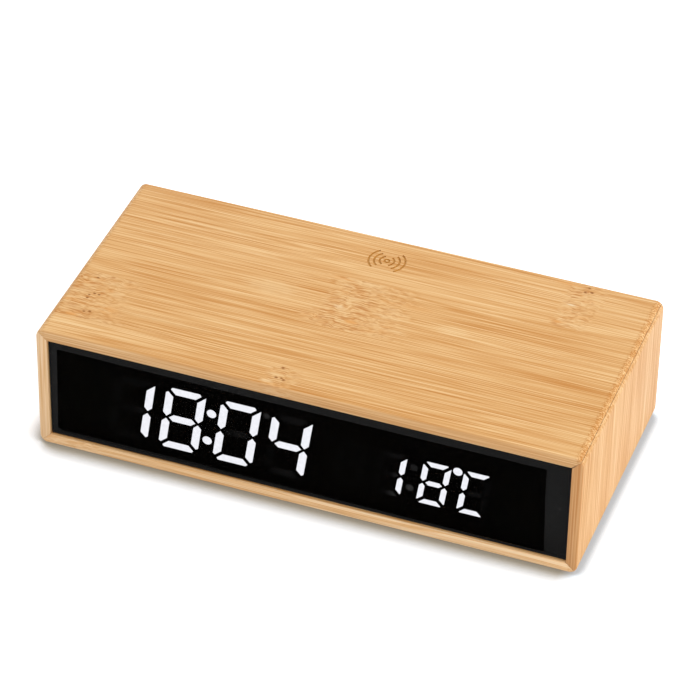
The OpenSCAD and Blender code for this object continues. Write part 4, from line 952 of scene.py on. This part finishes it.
buttonShape = {"flangeWidth": 1.0 * mm, "flangeThickness": 1.0 * mm, "crown": 0.45 * mm, "dishRim": 0.7 * mm,
               "dishDepth": 0.30 * mm, "sides": 64, "crownSteps": 5}
capLow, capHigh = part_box("mode_button")
capCentre = (capLow + capHigh) / 2
flangeRadius = (capHigh.x - capLow.x) / 2
bpy.ops.mesh.primitive_circle_add(vertices=buttonShape["sides"], radius=flangeRadius, fill_type="NGON",
                                  rotation=degrees(-90, 0, 0), location=(capCentre.x, capLow.y, capCentre.z))
cap = named("modeButtonCap")
settle(cap)
editAll(cap)
bpy.ops.mesh.extrude_region_move(TRANSFORM_OT_translate={"value": (0, buttonShape["flangeThickness"], 0)})
bpy.ops.mesh.inset(thickness=buttonShape["flangeWidth"])
bpy.ops.mesh.extrude_region_move(TRANSFORM_OT_translate={
    "value": (0, capHigh.y - capLow.y - buttonShape["flangeThickness"], 0)})
bpy.ops.mesh.inset(thickness=buttonShape["dishRim"])
bpy.ops.mesh.inset(thickness=buttonShape["dishRim"])
bpy.ops.transform.translate(value=(0, -buttonShape["dishDepth"], 0))
leaveEdit()
capRadius = flangeRadius - buttonShape["flangeWidth"]


def onCrown(point):
    fromAxis = math.hypot(point.x - capCentre.x, point.z - capCentre.z)
    return point.y > capHigh.y - tiny and fromAxis > capRadius - 10 * tiny


roundEdges(cap, buttonShape["crown"], buttonShape["crownSteps"], lambda a, b: onCrown(a) and onCrown(b))
tidyMesh(cap, 40)
caps = {"mode_button": cap}
for nodeName, name in (("set_button", "setButtonCap"), ("up_button", "upButtonCap"),
                       ("down_button", "downButtonCap")):
    caps[nodeName] = movedCopy(cap, name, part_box(nodeName)[0] - capLow)
for nodeName, piece in caps.items():
    finishPiece(piece, buttonPlastic, nodeName, "button_plastic", nodeName)
print("stage: feet and buttons")


# charging coil wound in a flat spiral, and the socket's contacts

coilShape = {"turns": 12, "perTurn": 48, "wire": 0.9 * mm, "pitch": 0.9365 * mm, "endPlay": 0.02}
coilLow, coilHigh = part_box("charging_coil")
coilCentre = (coilLow + coilHigh) / 2
coilOuter = (coilHigh.x - coilLow.x) / 2 - coilShape["wire"] / 2
coilInner = coilOuter - (coilShape["turns"] - coilShape["endPlay"]) * coilShape["pitch"]
points = []
for count in range(coilShape["turns"] * coilShape["perTurn"] + 1):
    share = count / (coilShape["turns"] * coilShape["perTurn"])
    angle = math.tau * coilShape["turns"] * share
    radius = coilInner + (coilOuter - coilInner) * share
    points.append((coilCentre.x + radius * math.cos(angle), coilCentre.y + radius * math.sin(angle),
                   coilCentre.z, 1))
windingPath = bpy.data.curves.new("chargingCoilWinding", "CURVE")
windingPath.dimensions = "3D"
windingPath.bevel_depth = coilShape["wire"] / 2
windingPath.bevel_resolution = 2
windingPath.use_fill_caps = True
spline = windingPath.splines.new("POLY")
spline.points.add(len(points) - 1)
for point, place in zip(spline.points, points):
    point.co = place
winding = bpy.data.objects.new("chargingCoilWinding", windingPath)
bpy.context.scene.collection.objects.link(winding)
onlySelect(winding)
bpy.ops.object.convert(target="MESH")
tidyMesh(winding)
finishPiece(winding, copper, "clock", "copper", "charging_coil")

contactShape = {"count": 12, "pitch": 0.5 * mm, "width": 0.26 * mm, "length": 3.4 * mm, "rise": 0.04 * mm,
                "fromTip": 0.35 * mm, "edge": 0.03 * mm}
tongueLow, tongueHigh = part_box("socket_tongue")
tongueMiddle = (tongueLow.x + tongueHigh.x) / 2
contacts = []
for count in range(contactShape["count"]):
    x = tongueMiddle + (count - (contactShape["count"] - 1) / 2) * contactShape["pitch"]
    for face, side in ((tongueHigh.z, 1), (tongueLow.z, -1)):
        raised = face + side * contactShape["rise"]
        low = (x - contactShape["width"] / 2, tongueHigh.y - contactShape["length"], min(face, raised))
        high = (x + contactShape["width"] / 2, tongueHigh.y - contactShape["fromTip"], max(face, raised))
        finger = addBlock("socketContact", low, high)
        pickFaces(finger, lambda c, n: n.z * side > 0.9)
        bpy.ops.mesh.inset(thickness=contactShape["edge"])
        leaveEdit()
        contacts.append(finger)
onlySelect(*contacts)
bpy.ops.object.join()
socketContacts = named("socketContacts")
finishPiece(socketContacts, gold, "clock", "spring_brass")
print("stage: coil and contacts")

leaveEdit()
